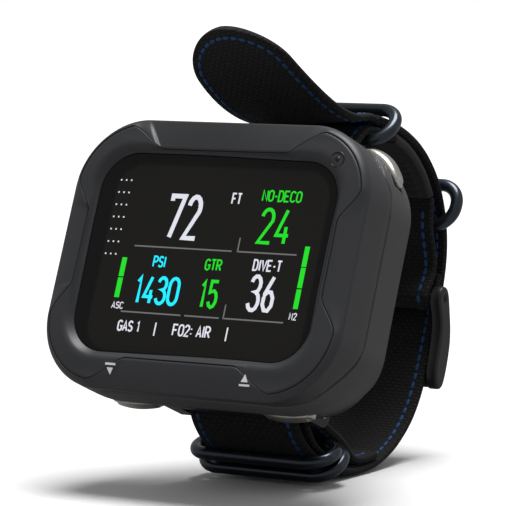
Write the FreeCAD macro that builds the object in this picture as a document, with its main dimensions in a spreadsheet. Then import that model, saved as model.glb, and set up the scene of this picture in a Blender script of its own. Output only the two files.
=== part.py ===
"""Wrist dive computer: case with screen and buttons, on a webbing strap with rod rings and a buckle.

Every piece is drawn in the case's own frame: X to the wearer's right along the screen, Y backwards
from the screen's face, Z up along the face, with the origin at the middle of the screen. STANCE then
leans the whole assembly back and puts the row's origin at the middle of the wrist.
"""
import FreeCAD, Part
import math
import os
import Sketcher

os.makedirs("parts", exist_ok=True)
doc = FreeCAD.newDocument("dive_computer")
V = FreeCAD.Vector

# ---------------------------------------------------------------- driving dimensions (mm, degrees)
SIZES = [
    ("lean", 21.8, "how far the case leans back from upright, degrees"),
    ("wrist_back", 55.0, "wrist centre behind the screen face"),
    ("wrist_up", 6.0, "wrist centre above the screen centre"),
    ("case_width", 82.0, "outer width of bezel and grip band"),
    ("case_height", 67.2, "outer height of bezel and grip band"),
    ("case_corner", 18.0, "outer corner radius of the case"),
    ("bezel_depth", 13.2, "bezel, front to back"),
    ("bezel_wall", 2.5, "wall thickness of bezel and grip band"),
    ("bezel_rise", 1.5, "how far the bezel's rim stands in front of the glass"),
    ("bezel_edge", 1.6, "rounding of the bezel's front edge"),
    ("bezel_lip", 1.3, "slope from the rim down to the glass"),
    ("bezel_face", 3.4, "thickness of the bezel's front face"),
    ("screen_width", 65.8, "screen opening"),
    ("screen_height", 49.9, "screen opening"),
    ("screen_corner", 9.5, "screen opening's corner radius"),
    ("lens_ledge", 2.4, "depth of the seat that the lens lies in"),
    ("lens_thick", 1.8, "lens thickness"),
    ("lens_play", 0.15, "gap round the lens"),
    ("window_inset", 2.4, "how far the ledge stands in from the screen opening"),
    ("band_front", 13.8, "front of the grip band"),
    ("band_back", 23.8, "back of the grip band"),
    ("band_edge", 2.2, "rounding of the band's back edge"),
    ("cover_edge", 1.8, "rounding of the rear cover's back edge"),
    ("tub_gap", 0.3, "gap between outer shells and the inner tub"),
    ("tub_wall", 1.6, "side wall of the inner tub"),
    ("tub_front", 3.6, "front rim of the inner tub"),
    ("tub_floor", 19.4, "inside of the tub's floor"),
    ("tub_back", 22.4, "back of the tub's floor"),
    ("cover_front", 23.0, "front of the rear cover"),
    ("cover_back", 26.0, "back of the rear cover, which lies on the arm"),
    ("screw_x", 29.5, "rear cover screws, sideways from the middle"),
    ("screw_z", 22.0, "rear cover screws, up and down from the middle"),
    ("screw_r", 0.9, "screw shank radius"),
    ("button_x", 21.0, "lower buttons, sideways from the middle"),
    ("button_y", 16.9, "middle of the buttons, behind the face"),
    ("button_long", 14.6, "button length"),
    ("button_wide", 5.0, "button width"),
    ("button_proud", 1.3, "how far a button stands out of the case"),
    ("stem_r", 1.2, "button stem radius"),
    ("lug_z", 27.6, "lug pin height above and below the middle"),
    ("lug_y", 34.2, "lug pin behind the face"),
    ("lug_half", 20.0, "half the width of a lug"),
    ("lug_arm", 3.8, "width of one lug arm"),
    ("lug_pin_r", 1.0, "lug pin radius"),
    ("strap_width", 30.4, "webbing width"),
    ("strap_thick", 1.8, "webbing thickness"),
    ("insert_thick", 2.6, "rubber insert thickness"),
    ("ring_half", 18.84, "ring: half its width, along the rod's centre line"),
    ("ring_bars", 11.46, "ring: distance between its two bars"),
    ("ring_bend", 5.5, "ring: bend radius of the rod's centre line"),
    ("ring_rod", 1.6, "ring: rod radius"),
    ("pin_y", 84.0, "buckle pin behind the face"),
    ("pin_z", 16.0, "buckle pin above the middle"),
    ("pin_r", 1.1, "buckle pin radius"),
    ("buckle_half", 18.9, "half the buckle's width"),
    ("buckle_bar", 3.0, "width of the buckle's side bars"),
    ("slot_half", 2.2, "half the width of the slots that the tang passes through"),
]
sheet = doc.addObject("Spreadsheet::Sheet", "Sizes")
for row, (alias, value, note) in enumerate(SIZES, start=1):
    sheet.set(f"A{row}", note)
    sheet.set(f"B{row}", str(value))
    sheet.setAlias(f"B{row}", alias)
doc.recompute()


def size(alias):
    """Value of a driving dimension."""
    return float(sheet.get(alias))


TILT = FreeCAD.Rotation(V(1, 0, 0), -size("lean"))
WRIST = V(0, size("wrist_back"), size("wrist_up"))
STANCE = FreeCAD.Placement(TILT.multVec(WRIST) * -1, TILT)


# ---------------------------------------------------------------- drawing helpers
def new_body(name):
    """An empty PartDesign body that carries the node's name."""
    body = doc.addObject("PartDesign::Body", name)
    body.Label = name
    return body


def origin_plane(body, role):
    """One of the body's own origin planes."""
    return next(item for item in body.Origin.OriginFeatures if item.Role == role)


def new_sketch(body, name, plane, offset="0"):
    """A sketch flat on an origin plane, moved along the plane's normal by an expression."""
    sketch = body.newObject("Sketcher::SketchObject", name)
    sketch.AttachmentSupport = [(origin_plane(body, plane), "")]
    sketch.MapMode = "FlatFace"
    sketch.setExpression("AttachmentOffset.Base.z", offset)
    return sketch


def rounded_rectangle(sketch, width, height, corner):
    """A centred rounded rectangle whose three sizes are expressions of the sheet."""
    w, h, r = 20.0, 14.0, 3.0
    sides = [((-w + r, h), (w - r, h)), ((w, h - r), (w, -h + r)),
             ((w - r, -h), (-w + r, -h)), ((-w, -h + r), (-w, h - r))]
    first = sketch.GeometryCount
    for (x0, z0), (x1, z1) in sides:
        sketch.addGeometry(Part.LineSegment(V(x0, z0, 0), V(x1, z1, 0)))
    corners = [((w - r, h - r), 0), ((w - r, -h + r), -90), ((-w + r, -h + r), 180), ((-w + r, h - r), 90)]
    for (x, z), start in corners:
        circle = Part.Circle(V(x, z, 0), V(0, 0, 1), r)
        sketch.addGeometry(Part.ArcOfCircle(circle, math.radians(start), math.radians(start + 90)))
    for side in range(4):
        arc = first + 4 + side
        sketch.addConstraint(Sketcher.Constraint("Tangent", first + side, 2, arc, 2))
        sketch.addConstraint(Sketcher.Constraint("Tangent", arc, 1, first + (side + 1) % 4, 1))
    sketch.addConstraint(Sketcher.Constraint("Horizontal", first))
    sketch.addConstraint(Sketcher.Constraint("Horizontal", first + 2))
    sketch.addConstraint(Sketcher.Constraint("Vertical", first + 1))
    sketch.addConstraint(Sketcher.Constraint("Vertical", first + 3))
    for arc in (first + 5, first + 6, first + 7):
        sketch.addConstraint(Sketcher.Constraint("Equal", first + 4, arc))
    sketch.addConstraint(Sketcher.Constraint("Symmetric", first + 4, 3, first + 6, 3, -1, 1))
    radius = sketch.addConstraint(Sketcher.Constraint("Radius", first + 4, r))
    across = sketch.addConstraint(Sketcher.Constraint("DistanceX", first + 3, 1, first + 1, 1, 2 * w))
    up = sketch.addConstraint(Sketcher.Constraint("DistanceY", first + 2, 1, first, 1, 2 * h))
    sketch.setExpression(f"Constraints[{across}]", width)
    sketch.setExpression(f"Constraints[{up}]", height)
    sketch.setExpression(f"Constraints[{radius}]", corner)


def circles(sketch, centres, radius):
    """Circles of one radius, each at a place given by two expressions or numbers."""
    for x, z in centres:
        item = sketch.addGeometry(Part.Circle(V(1, 1, 0), V(0, 0, 1), 1.0))
        across = sketch.addConstraint(Sketcher.Constraint("DistanceX", -1, 1, item, 3, 1.0))
        up = sketch.addConstraint(Sketcher.Constraint("DistanceY", -1, 1, item, 3, 1.0))
        wide = sketch.addConstraint(Sketcher.Constraint("Radius", item, 1.0))
        sketch.setExpression(f"Constraints[{across}]", str(x))
        sketch.setExpression(f"Constraints[{up}]", str(z))
        sketch.setExpression(f"Constraints[{wide}]", str(radius))


def polygon(sketch, points):
    """A closed outline of straight lines through fixed points."""
    for (x0, z0), (x1, z1) in zip(points, points[1:] + points[:1]):
        sketch.addGeometry(Part.LineSegment(V(x0, z0, 0), V(x1, z1, 0)))


def pad(body, sketch, length, backwards=False, both_ways=False):
    """A pad whose length is an expression of the sheet."""
    feature = body.newObject("PartDesign::Pad", sketch.Name + "_pad")
    feature.Profile = sketch
    feature.setExpression("Length", length)
    feature.Reversed = backwards
    feature.Midplane = both_ways
    return feature


def pocket(body, sketch, length, backwards=False, both_ways=False):
    """A pocket of the given depth, which must take material away."""
    doc.recompute()
    before = body.Shape.Volume
    feature = body.newObject("PartDesign::Pocket", sketch.Name + "_pocket")
    feature.Profile = sketch
    feature.setExpression("Length", length)
    feature.Reversed = backwards
    feature.Midplane = both_ways
    doc.recompute()
    if body.Shape.Volume > before - 0.01:
        raise ValueError(f"{body.Label}: pocket {sketch.Name} cuts nothing")
    return feature


def round_edges(body, wanted, radius):
    """Rounds the edges of a body whose bounding boxes pass a test."""
    doc.recompute()
    base = body.Tip
    edges = enumerate(base.Shape.Edges, start=1)
    names = [f"Edge{number}" for number, edge in edges if wanted(edge.BoundBox)]
    rounding = body.newObject("PartDesign::Fillet", f"{body.Name}_rounding")
    rounding.Base = (base, names)
    rounding.setExpression("Radius", radius)


def bevel_edges(body, wanted, width):
    """Bevels the edges of a body whose bounding boxes pass a test."""
    doc.recompute()
    base = body.Tip
    edges = enumerate(base.Shape.Edges, start=1)
    names = [f"Edge{number}" for number, edge in edges if wanted(edge.BoundBox)]
    bevel = body.newObject("PartDesign::Chamfer", f"{body.Name}_bevel")
    bevel.Base = (base, names)
    bevel.setExpression("Size", width)


def flat_at(box, level):
    """True for an edge that lies in the plane Y = level."""
    return abs(box.YMin - level) < 1e-4 and abs(box.YMax - level) < 1e-4


def is_inside(box, width, height):
    """True for an edge within a rectangle of the given sizes round the middle."""
    reach_x, reach_z = size(width) / 2 + 0.01, size(height) / 2 + 0.01
    return max(abs(box.XMin), abs(box.XMax)) < reach_x and max(abs(box.ZMin), abs(box.ZMax)) < reach_z


# Sketches on XZ_Plane look along -Y, so a pad goes backwards (+Y) when it is reversed.
def slab(body, tag, front, back, width, height, corner):
    """A rounded rectangular block between two depths."""
    sketch = new_sketch(body, f"{body.Name}_{tag}", "XZ_Plane", f"-({front})")
    rounded_rectangle(sketch, width, height, corner)
    return pad(body, sketch, f"({back}) - ({front})", backwards=True)


def recess(body, tag, front, back, width, height, corner):
    """A rounded rectangular cut between two depths."""
    sketch = new_sketch(body, f"{body.Name}_{tag}", "XZ_Plane", f"-({front})")
    rounded_rectangle(sketch, width, height, corner)
    return pocket(body, sketch, f"({back}) - ({front})", backwards=False)


def drill(body, tag, front, back, centres, radius):
    """Round holes along Y between two depths."""
    sketch = new_sketch(body, f"{body.Name}_{tag}", "XZ_Plane", f"-({front})")
    circles(sketch, centres, radius)
    return pocket(body, sketch, f"({back}) - ({front})", backwards=False)


def rods(body, tag, front, back, centres, radius):
    """Round rods along Y between two depths."""
    sketch = new_sketch(body, f"{body.Name}_{tag}", "XZ_Plane", f"-({front})")
    circles(sketch, centres, radius)
    return pad(body, sketch, f"({back}) - ({front})", backwards=True)


def shrink(alias, amount):
    """Expression for a sheet dimension less an amount."""
    return f"Sizes.{alias} - ({amount})"


def frame_of(inset):
    """Width, height and corner expressions of the case outline moved in by an amount."""
    return shrink("case_width", f"2 * ({inset})"), shrink("case_height", f"2 * ({inset})"), \
        shrink("case_corner", inset)


def screen_of(inset):
    """Width, height and corner expressions of the screen opening moved in by an amount."""
    return shrink("screen_width", f"2 * ({inset})"), shrink("screen_height", f"2 * ({inset})"), \
        shrink("screen_corner", inset)


# ---------------------------------------------------------------- front shell, lens and display
SHELL_INSET = "Sizes.bezel_wall"
TUB_INSET = "Sizes.bezel_wall + Sizes.tub_gap"
TUB_INSIDE = "Sizes.bezel_wall + Sizes.tub_gap + Sizes.tub_wall"


def make_front_bezel():
    """Moulded front shell: screen opening with a ledge for the lens, hollow behind."""
    body = new_body("front_bezel")
    front = -size("bezel_rise")
    slab(body, "block", "-Sizes.bezel_rise", "Sizes.bezel_depth", *frame_of("0"))
    round_edges(body, lambda box: flat_at(box, front), "Sizes.bezel_edge")
    recess(body, "lens_seat", "-Sizes.bezel_rise", "Sizes.lens_ledge", *screen_of("0"))
    bevel_edges(body, lambda box: flat_at(box, front) and is_inside(box, "screen_width", "screen_height"),
                "Sizes.bezel_lip")
    recess(body, "window", "0", "Sizes.bezel_face + 1", *screen_of("Sizes.window_inset"))
    recess(body, "hollow", "Sizes.bezel_face", "Sizes.bezel_depth + 1", *frame_of(SHELL_INSET))


def make_lens_stack():
    """Lens, its gasket, the display behind it and the display's carrier frame."""
    lens = new_body("screen_lens")
    slab(lens, "glass", "0.3", "0.3 + Sizes.lens_thick", *screen_of("Sizes.lens_play"))
    gasket = new_body("lens_gasket")
    slab(gasket, "ring", "0.3 + Sizes.lens_thick", "Sizes.lens_ledge", *screen_of("0.3"))
    recess(gasket, "inside", "0", "Sizes.lens_ledge + 1", *screen_of("Sizes.window_inset"))
    display = new_body("display_module")
    slab(display, "panel", "Sizes.lens_ledge + 0.1", "Sizes.lens_ledge + 2.2",
         *screen_of("Sizes.window_inset + 0.2"))
    carrier = new_body("display_frame")
    slab(carrier, "plate", "Sizes.lens_ledge + 2.3", "Sizes.lens_ledge + 4.8",
         *frame_of(TUB_INSIDE + " + 0.4"))
    recess(carrier, "opening", "0", "8", "50", "34", "4")


def make_electronics():
    """Board, battery, antenna coil, vibration motor and sounder inside the tub."""
    board = new_body("main_board")
    slab(board, "board", front="7.2", back="8.8", width="70", height="55", corner="11.5")
    battery = new_body("battery_pack")
    slab(battery, "cell", front="8.9", back="15.4", width="44", height="36", corner="3")
    coil = new_body("antenna_coil")
    slab(coil, "winding", front="8.9", back="11.4", width="54", height="46", corner="6")
    recess(coil, "inside", front="8", back="12", width="47", height="39", corner="4")
    motor = new_body("vibration_motor")
    rods(motor, "can", front="8.9", back="12.4", centres=[(30, -6)], radius=2.6)
    sounder = new_body("sounder_disc")
    rods(sounder, "disc", front="18.7", back="Sizes.tub_floor", centres=[(-16, 8)], radius=9)


def make_tub():
    """Pressure-tight tub behind the bezel, with a clamping floor for the rear cover's screws."""
    body = new_body("inner_case")
    slab(body, "block", "Sizes.tub_front", "Sizes.tub_back", *frame_of(TUB_INSET))
    recess(body, "inside", "0", "Sizes.tub_floor", *frame_of(TUB_INSIDE))
    drill(body, "screw_holes", "Sizes.tub_back - 2.4", "Sizes.tub_back + 1", corner_screws(), "0.95")
    drill(body, "sensor_port", "Sizes.tub_floor - 1", "Sizes.tub_back + 1", [(16, 8)], "3.1")
    drill(body, "contact_holes", "Sizes.tub_floor - 1", "Sizes.tub_back + 1", contact_places(), "1.05")
    for name, x, z, angle in BUTTONS:
        cut_across(body, f"bore_{name}", x, z, angle, "2.2", "-8", "8")


def corner_screws():
    """The four places of the rear cover's screws."""
    return [(f"{i} * Sizes.screw_x", f"{k} * Sizes.screw_z") for i in (-1, 1) for k in (-1, 1)]


def contact_places():
    """Three charging contacts in a row."""
    return [(x, -12) for x in (-5, 0, 5)]


def cut_across(body, tag, x, z, angle, radius, low, high):
    """A round cut whose axis runs along a button's own press line."""
    doc.recompute()
    before = body.Shape.Volume
    cut = body.newObject("PartDesign::SubtractiveCylinder", f"{body.Name}_{tag}")
    place_cylinder(body, cut, x, z, angle, radius, low, high)
    doc.recompute()
    if body.Shape.Volume > before - 0.01:
        raise ValueError(f"{body.Label}: {tag} cuts nothing")


def place_cylinder(body, feature, x, z, angle, radius, low, high):
    """Sets a cylinder between two heights over the case outline, along a button's press line."""
    feature.AttachmentSupport = [(origin_plane(body, "XY_Plane"), "")]
    feature.MapMode = "FlatFace"
    outward = V(math.cos(math.radians(angle)), 0, math.sin(math.radians(angle)))
    turn = FreeCAD.Rotation(V(0, 0, 1), outward)
    base = V(x, size("button_y"), z) + outward * float(low)
    feature.AttachmentOffset = FreeCAD.Placement(base, turn)
    feature.setExpression("Radius", str(radius))
    feature.setExpression("Height", f"({high}) - ({low})")
    feature.setExpression("AttachmentOffset.Base.y", "Sizes.button_y")


# ---------------------------------------------------------------- buttons
def corner_point(angle):
    """Point on the case outline's upper right corner arc at an angle from +X."""
    radius = size("case_corner")
    x = size("case_width") / 2 - radius + radius * math.cos(math.radians(angle))
    z = size("case_height") / 2 - radius + radius * math.sin(math.radians(angle))
    return x, z


SIDE_ANGLE = 48.6
BUTTONS = [
    ("left", -size("button_x"), -size("case_height") / 2, -90.0),
    ("right", size("button_x"), -size("case_height") / 2, -90.0),
    ("side", *corner_point(SIDE_ANGLE), SIDE_ANGLE),
]


def window_outline(sketch, x, z, angle, long, deep):
    """A rectangle centred on a button, long across its press line and deep along it."""
    along = V(math.cos(math.radians(angle)), math.sin(math.radians(angle)), 0)
    across = V(-along.y, along.x, 0)
    corners = []
    for i, k in ((1, 1), (1, -1), (-1, -1), (-1, 1)):
        point = V(x, z, 0) + across * (i * long / 2) + along * (k * deep / 2)
        corners.append((point.x, point.y))
    polygon(sketch, corners)


def make_button(name, x, z, angle):
    """Metal push button: a slice of the case outline standing proud, on a stem with a clip."""
    body = new_body(f"button_{name}")
    half = "Sizes.button_wide / 2"
    slab(body, "outline", f"Sizes.button_y - {half}", f"Sizes.button_y + {half}",
         *frame_of("-Sizes.button_proud"))
    recess(body, "inside", "0", "40", *frame_of("1.7"))
    sketch = new_sketch(body, f"{body.Name}_slice", "XZ_Plane", "0")
    polygon(sketch, [(-90, -90), (90, -90), (90, 90), (-90, 90)])
    window_outline(sketch, x, z, angle, size("button_long"), 16.0)
    pocket(body, sketch, "60")
    stem = body.newObject("PartDesign::AdditiveCylinder", f"{body.Name}_stem")
    place_cylinder(body, stem, x, z, angle, "Sizes.stem_r", "-5.6", "-1")
    clip = new_body(f"button_{name}_clip")
    ring = clip.newObject("PartDesign::AdditiveCylinder", f"{clip.Name}_ring")
    place_cylinder(clip, ring, x, z, angle, "2.1", "-5.1", "-4.7")
    cut_across(clip, "hole", x, z, angle, "Sizes.stem_r", "-7", "-3")


def make_button_group(name, outer, inner, low, high):
    """The same ring round all three stems, as one node of separate solids."""
    rings = []
    for _, x, z, angle in BUTTONS:
        outward = V(math.cos(math.radians(angle)), 0, math.sin(math.radians(angle)))
        base = V(x, size("button_y"), z) + outward * low
        ring = Part.makeCylinder(outer, high - low, base, outward)
        if inner > 0:
            ring = ring.cut(Part.makeCylinder(inner, high - low, base, outward))
        rings.append(ring)
    group = doc.addObject("Part::Feature", name)
    group.Label = name
    group.Shape = Part.makeCompound(rings)


def make_buttons():
    """Three buttons with their seals, springs and the switches that they press."""
    for name, x, z, angle in BUTTONS:
        make_button(name, x, z, angle)
    make_button_group("button_seals", 2.15, size("stem_r") + 0.05, -4.35, -2.85)
    make_button_group("tact_switches", 1.7, 0, -7.6, -6.5)
    for name, x, z, angle in BUTTONS:
        spring = new_body(f"button_{name}_spring")
        coil = spring.newObject("PartDesign::AdditiveCylinder", f"{spring.Name}_coil")
        place_cylinder(spring, coil, x, z, angle, "1.9", "-2.8", "-1.9")
        cut_across(spring, "hole", x, z, angle, "1.5", "-4", "0")


# ---------------------------------------------------------------- grip band and rear cover
def make_grip_band():
    """Ribbed rear band of the case, open at both ends, with a window for each button."""
    body = new_body("grip_band")
    slab(body, "block", "Sizes.band_front", "Sizes.band_back", *frame_of("0"))
    round_edges(body, lambda box: flat_at(box, size("band_back")), "Sizes.band_edge")
    recess(body, "inside", "0", "40", *frame_of(SHELL_INSET))
    for name, x, z, angle in BUTTONS:
        front = "Sizes.button_y - Sizes.button_wide / 2 - 0.2"
        sketch = new_sketch(body, f"band_window_{name}", "XZ_Plane", f"-({front})")
        window_outline(sketch, x, z, angle, size("button_long") + 0.5, 14.0)
        pocket(body, sketch, "Sizes.button_wide + 0.4")
    notch = new_sketch(body, "side_notch", "XZ_Plane", "-(Sizes.band_back - 1.6)")
    polygon(notch, [(36, -2), (46, -2), (46, 8), (36, 8)])
    pocket(body, notch, "5")


def make_rear_cover():
    """Flat rear cover with its seal, screws, sensor and charging contacts."""
    cover = new_body("rear_cover")
    slab(cover, "plate", "Sizes.cover_front", "Sizes.cover_back", *frame_of(TUB_INSET))
    round_edges(cover, lambda box: flat_at(box, size("cover_back")), "Sizes.cover_edge")
    drill(cover, "screw_holes", "20", "30", corner_screws(), "0.95")
    drill(cover, "screw_seats", "Sizes.cover_back - 1.4", "30", corner_screws(), "2.0")
    drill(cover, "sensor_port", "20", "30", [(16, 8)], "4.1")
    drill(cover, "contact_holes", "20", "30", contact_places(), "1.6")
    drill(cover, "lug_holes", "Sizes.cover_back - 1.8", "30", lug_screws(), "0.95")
    seal = new_body("case_seal")
    slab(seal, "ring", "Sizes.tub_back", "Sizes.cover_front", *frame_of("5.2"))
    recess(seal, "inside", "20", "30", *frame_of("6.8"))
    sensor = new_body("pressure_sensor")
    rods(sensor, "can", "Sizes.tub_floor - 0.6", "Sizes.tub_back", [(16, 8)], "3")
    guard = new_body("sensor_guard")
    rods(guard, "disc", "Sizes.cover_back - 1.2", "Sizes.cover_back - 0.1", [(16, 8)], "4")
    holes = [(16 + 2.2 * math.cos(math.radians(a)), 8 + 2.2 * math.sin(math.radians(a)))
             for a in range(0, 360, 60)]
    drill(guard, "holes", "20", "30", holes, "0.5")


def lug_screws():
    """Two screws in each lug's base."""
    return [(f"{i} * 9", f"{k} * Sizes.lug_z") for i in (-1, 1) for k in (-1, 1)]


def turned_group(name, places, steps):
    """Identical turned pieces along Y, as one node: each step is (radius, front, back)."""
    pieces = []
    for x, z in places:
        piece = None
        for radius, front, back in steps:
            step = Part.makeCylinder(radius, back - front, V(x, front, z), V(0, 1, 0))
            piece = step if piece is None else piece.fuse(step)
        pieces.append(piece.removeSplitter())
    group = doc.addObject("Part::Feature", name)
    group.Label = name
    group.Shape = Part.makeCompound(pieces)


def make_fasteners():
    """Rear cover screws, lug screws and charging contacts."""
    back = size("cover_back")
    shank = size("screw_r")
    corners = [(i * size("screw_x"), k * size("screw_z")) for i in (-1, 1) for k in (-1, 1)]
    head = [(1.9, back - 1.35, back - 0.1), (shank, size("tub_back") - 2.3, back - 1.35)]
    turned_group("rear_cover_screws", corners, head)
    seats = [(i * 9.0, k * size("lug_z")) for i in (-1, 1) for k in (-1, 1)]
    top = back + LUG_BASE
    turned_group("lug_screws", seats, [(1.7, top - 1.0, top - 0.05), (shank, back - 1.7, top - 1.0)])
    contacts = [(x, -12.0) for x in (-5.0, 0.0, 5.0)]
    collar = size("cover_front") + 0.1
    steps = [(1.5, collar, back - 0.15), (1.0, size("tub_floor") - 0.6, collar)]
    turned_group("charging_contacts", contacts, steps)


# ---------------------------------------------------------------- strap lugs
LUG_BASE = 2.2
LUG_REACH = 3.1


def make_lug(name, up):
    """Bracket behind the case: a base with two arms that hold the strap's cross pin."""
    body = new_body(name)
    half, arm = size("lug_half"), size("lug_arm")
    front, seat = size("cover_back"), size("cover_back") + LUG_BASE
    end = size("lug_y") + LUG_REACH
    level = up * size("lug_z")
    sketch = new_sketch(body, f"{name}_outline", "XY_Plane", f"{up} * Sizes.lug_z")
    polygon(sketch, [(-half, front), (half, front), (half, end), (half - arm, end), (half - arm, seat),
                     (arm - half, seat), (arm - half, end), (-half, end)])
    pad(body, sketch, f"{2 * LUG_REACH}", both_ways=True)
    doc.recompute()
    round_edges(body, lambda box: box.YMin > end - 1e-3 and box.XLength > 1.0, str(LUG_REACH - 0.3))
    bore = new_sketch(body, f"{name}_bore", "YZ_Plane", "0")
    circles(bore, [("Sizes.lug_y", f"{up} * Sizes.lug_z")], "Sizes.lug_pin_r + 0.03")
    pocket(body, bore, "60", both_ways=True)
    seats = new_sketch(body, f"{name}_seats", "XZ_Plane", f"-({seat} - 1.05)")
    circles(seats, [("9", str(level)), ("-9", str(level))], "1.8")
    pocket(body, seats, "6")
    shanks = new_sketch(body, f"{name}_shanks", "XZ_Plane", "-20")
    circles(shanks, [("9", str(level)), ("-9", str(level))], "0.95")
    pocket(body, shanks, "20")
    pin = new_body(f"{name}_pin")
    bar = new_sketch(pin, f"{name}_pin_circle", "YZ_Plane", "0")
    circles(bar, [("Sizes.lug_y", f"{up} * Sizes.lug_z")], "Sizes.lug_pin_r")
    pad(pin, bar, "2 * Sizes.lug_half + 0.6", both_ways=True)


# ---------------------------------------------------------------- webbing
# Routes are seen from the side, as (Y, Z) points of the webbing's middle line in the case's frame.
MAIN_ROUTE = [
    (37.2, -25.6), (34.6, -25.3), (32.4, -26.2), (30.8, -28.3), (31.2, -30.9), (34.4, -33.4),
    (40.0, -36.0), (48.0, -36.9), (56.2, -36.5), (62.1, -35.3), (68.0, -33.1), (73.2, -30.3),
    (78.0, -26.4), (81.9, -22.0), (85.3, -16.4), (87.2, -10.7), (88.1, -5.0), (88.5, 3.0),
    (88.6, 12.0), (88.3, 21.1), (87.1, 28.4), (84.4, 34.6), (80.6, 39.9), (75.8, 44.4),
    (70.1, 47.6), (63.8, 49.6), (57.4, 50.4), (51.6, 50.4), (46.4, 49.9), (41.6, 49.2),
]
FOLD_ROUTE = [(37.3, -25.6), (40.2, -26.1), (44.9, -28.0), (50.4, -28.7), (56.0, -30.0), (61.0, -32.5),
              (66.8, -31.2), (71.9, -28.5)]
TAB_ROUTE = [(35.6, -29.6), (38.6, -31.8), (42.4, -34.2), (47.6, -35.0), (53.0, -34.9), (58.0, -34.1)]
UPPER_ROUTE = [(37.6, 29.6), (36.2, 26.4), (33.8, 25.2), (31.6, 26.6), (31.2, 29.6), (32.2, 35.8),
               (34.2, 41.4), (37.8, 45.4), (42.8, 46.5), (47.2, 47.2), (51.2, 47.6)]
INSERT_ROUTE = [(51.3, 47.6), (57.2, 47.5), (63.6, 46.0), (69.4, 43.4), (74.1, 39.9)]
SHORT_ROUTE = [(74.5, 39.4), (76.0, 36.0), (77.2, 32.0), (80.9, 27.4), (83.2, 23.4), (82.6, 19.6),
               (81.75, 17.0), (81.75, 15.0), (83.1, 13.75), (84.9, 13.75), (86.25, 15.0), (86.3, 18.4),
               (85.9, 22.6)]
ARC_SHARE = 0.45


def bends(points):
    """Start, end, centre and sweep of the arc that rounds each inner point of a route."""
    rounded = []
    for before, here, after in zip(points, points[1:], points[2:]):
        run_in = V(here[0] - before[0], here[1] - before[1], 0)
        run_out = V(after[0] - here[0], after[1] - here[1], 0)
        turn = run_in.getAngle(run_out)
        cut = ARC_SHARE * min(run_in.Length, run_out.Length)
        radius = cut / math.tan(turn / 2)
        run_in.normalize()
        run_out.normalize()
        left = 1.0 if run_in.cross(run_out).z > 0 else -1.0
        start = V(*here, 0) - run_in * cut
        end = V(*here, 0) + run_out * cut
        centre = start + V(-run_in.y, run_in.x, 0) * (left * radius)
        rounded.append((start, end, centre, left * turn))
    return rounded


def side_line(points, offset):
    """Lines and arcs that follow a route at a distance to its left."""
    edges = []
    first = V(points[1][0] - points[0][0], points[1][1] - points[0][1], 0).normalize()
    last = V(points[-1][0] - points[-2][0], points[-1][1] - points[-2][1], 0).normalize()
    here = V(*points[0], 0) + V(-first.y, first.x, 0) * offset
    for start, end, centre, sweep in bends(points):
        side = 1.0 if sweep > 0 else -1.0
        radius = (start - centre).Length - side * offset
        arc_start = centre + (start - centre).normalize() * radius
        arc_end = centre + (end - centre).normalize() * radius
        middle_way = ((start - centre) + (end - centre)).normalize()
        edges.append(Part.LineSegment(here, arc_start))
        edges.append(Part.Arc(arc_start, centre + middle_way * radius, arc_end))
        here = arc_end
    finish = V(*points[-1], 0) + V(-last.y, last.x, 0) * offset
    edges.append(Part.LineSegment(here, finish))
    return edges


def ends_of(edges):
    """First and last point of a chain of edges."""
    return edges[0].StartPoint, edges[-1].EndPoint


def make_band(name, route, thickness):
    """A length of webbing: its side outline along the route, padded across the strap's width."""
    body = new_body(name)
    half = thickness / 2
    left = side_line(route, half)
    right = side_line(route, -half)
    (left_start, left_end), (right_start, right_end) = ends_of(left), ends_of(right)
    sketch = new_sketch(body, f"{name}_outline", "YZ_Plane", "0")
    for edge in left + right:
        sketch.addGeometry(edge)
    sketch.addGeometry(Part.LineSegment(left_start, right_start))
    sketch.addGeometry(Part.LineSegment(left_end, right_end))
    pad(body, sketch, "Sizes.strap_width", both_ways=True)
    return body


def cut_slot(body, low, high, near, far):
    """A slot along the strap for the tang, between two heights and two depths."""
    sketch = new_sketch(body, f"{body.Name}_slot", "YZ_Plane", "0")
    polygon(sketch, [(near, low), (far, low), (far, high), (near, high)])
    pocket(body, sketch, "2 * Sizes.slot_half", both_ways=True)


def make_straps():
    """All webbing layers and the rubber insert."""
    thick = size("strap_thick")
    main = make_band("main_strap", MAIN_ROUTE, thick)
    cut_slot(main, 0.6, 16.2, 84.0, 92.0)
    make_band("strap_fold", FOLD_ROUTE, thick)
    make_band("ring_tab", TAB_ROUTE, thick)
    make_band("upper_strap", UPPER_ROUTE, thick)
    make_band("rubber_insert", INSERT_ROUTE, size("insert_thick"))
    short = make_band("short_strap", SHORT_ROUTE, thick)
    cut_slot(short, 10.0, 19.6, 79.0, 90.0)


# The free tail twists as it leaves the ring: its middle line and the direction of its width are each a
# Bezier curve through a few control points (X, Y, Z).
TAIL_LINE = [(0.0, 41.0, 49.2), (0.0, 35.8, 47.4), (3.2, 34.1, 42.3), (-1.5, 14.4, 40.8), (-7.6, -2.7, 56.1)]
TAIL_ACROSS = [(1.0, 0.0, 0.0), (1.0, -2.8, -2.3), (1.0, -5.5, 4.1)]
TAIL_ROUND = 12.4
TAIL_STATIONS = [0.0, 0.15, 0.3, 0.45, 0.6, 0.72, 0.82, 0.9, 0.96, 0.99]


def bezier(points, share):
    """Point of a Bezier curve at a share of its parameter."""
    order = len(points) - 1
    total = V(0, 0, 0)
    for i, point in enumerate(points):
        total += V(*point) * (math.comb(order, i) * share ** i * (1 - share) ** (order - i))
    return total


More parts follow.
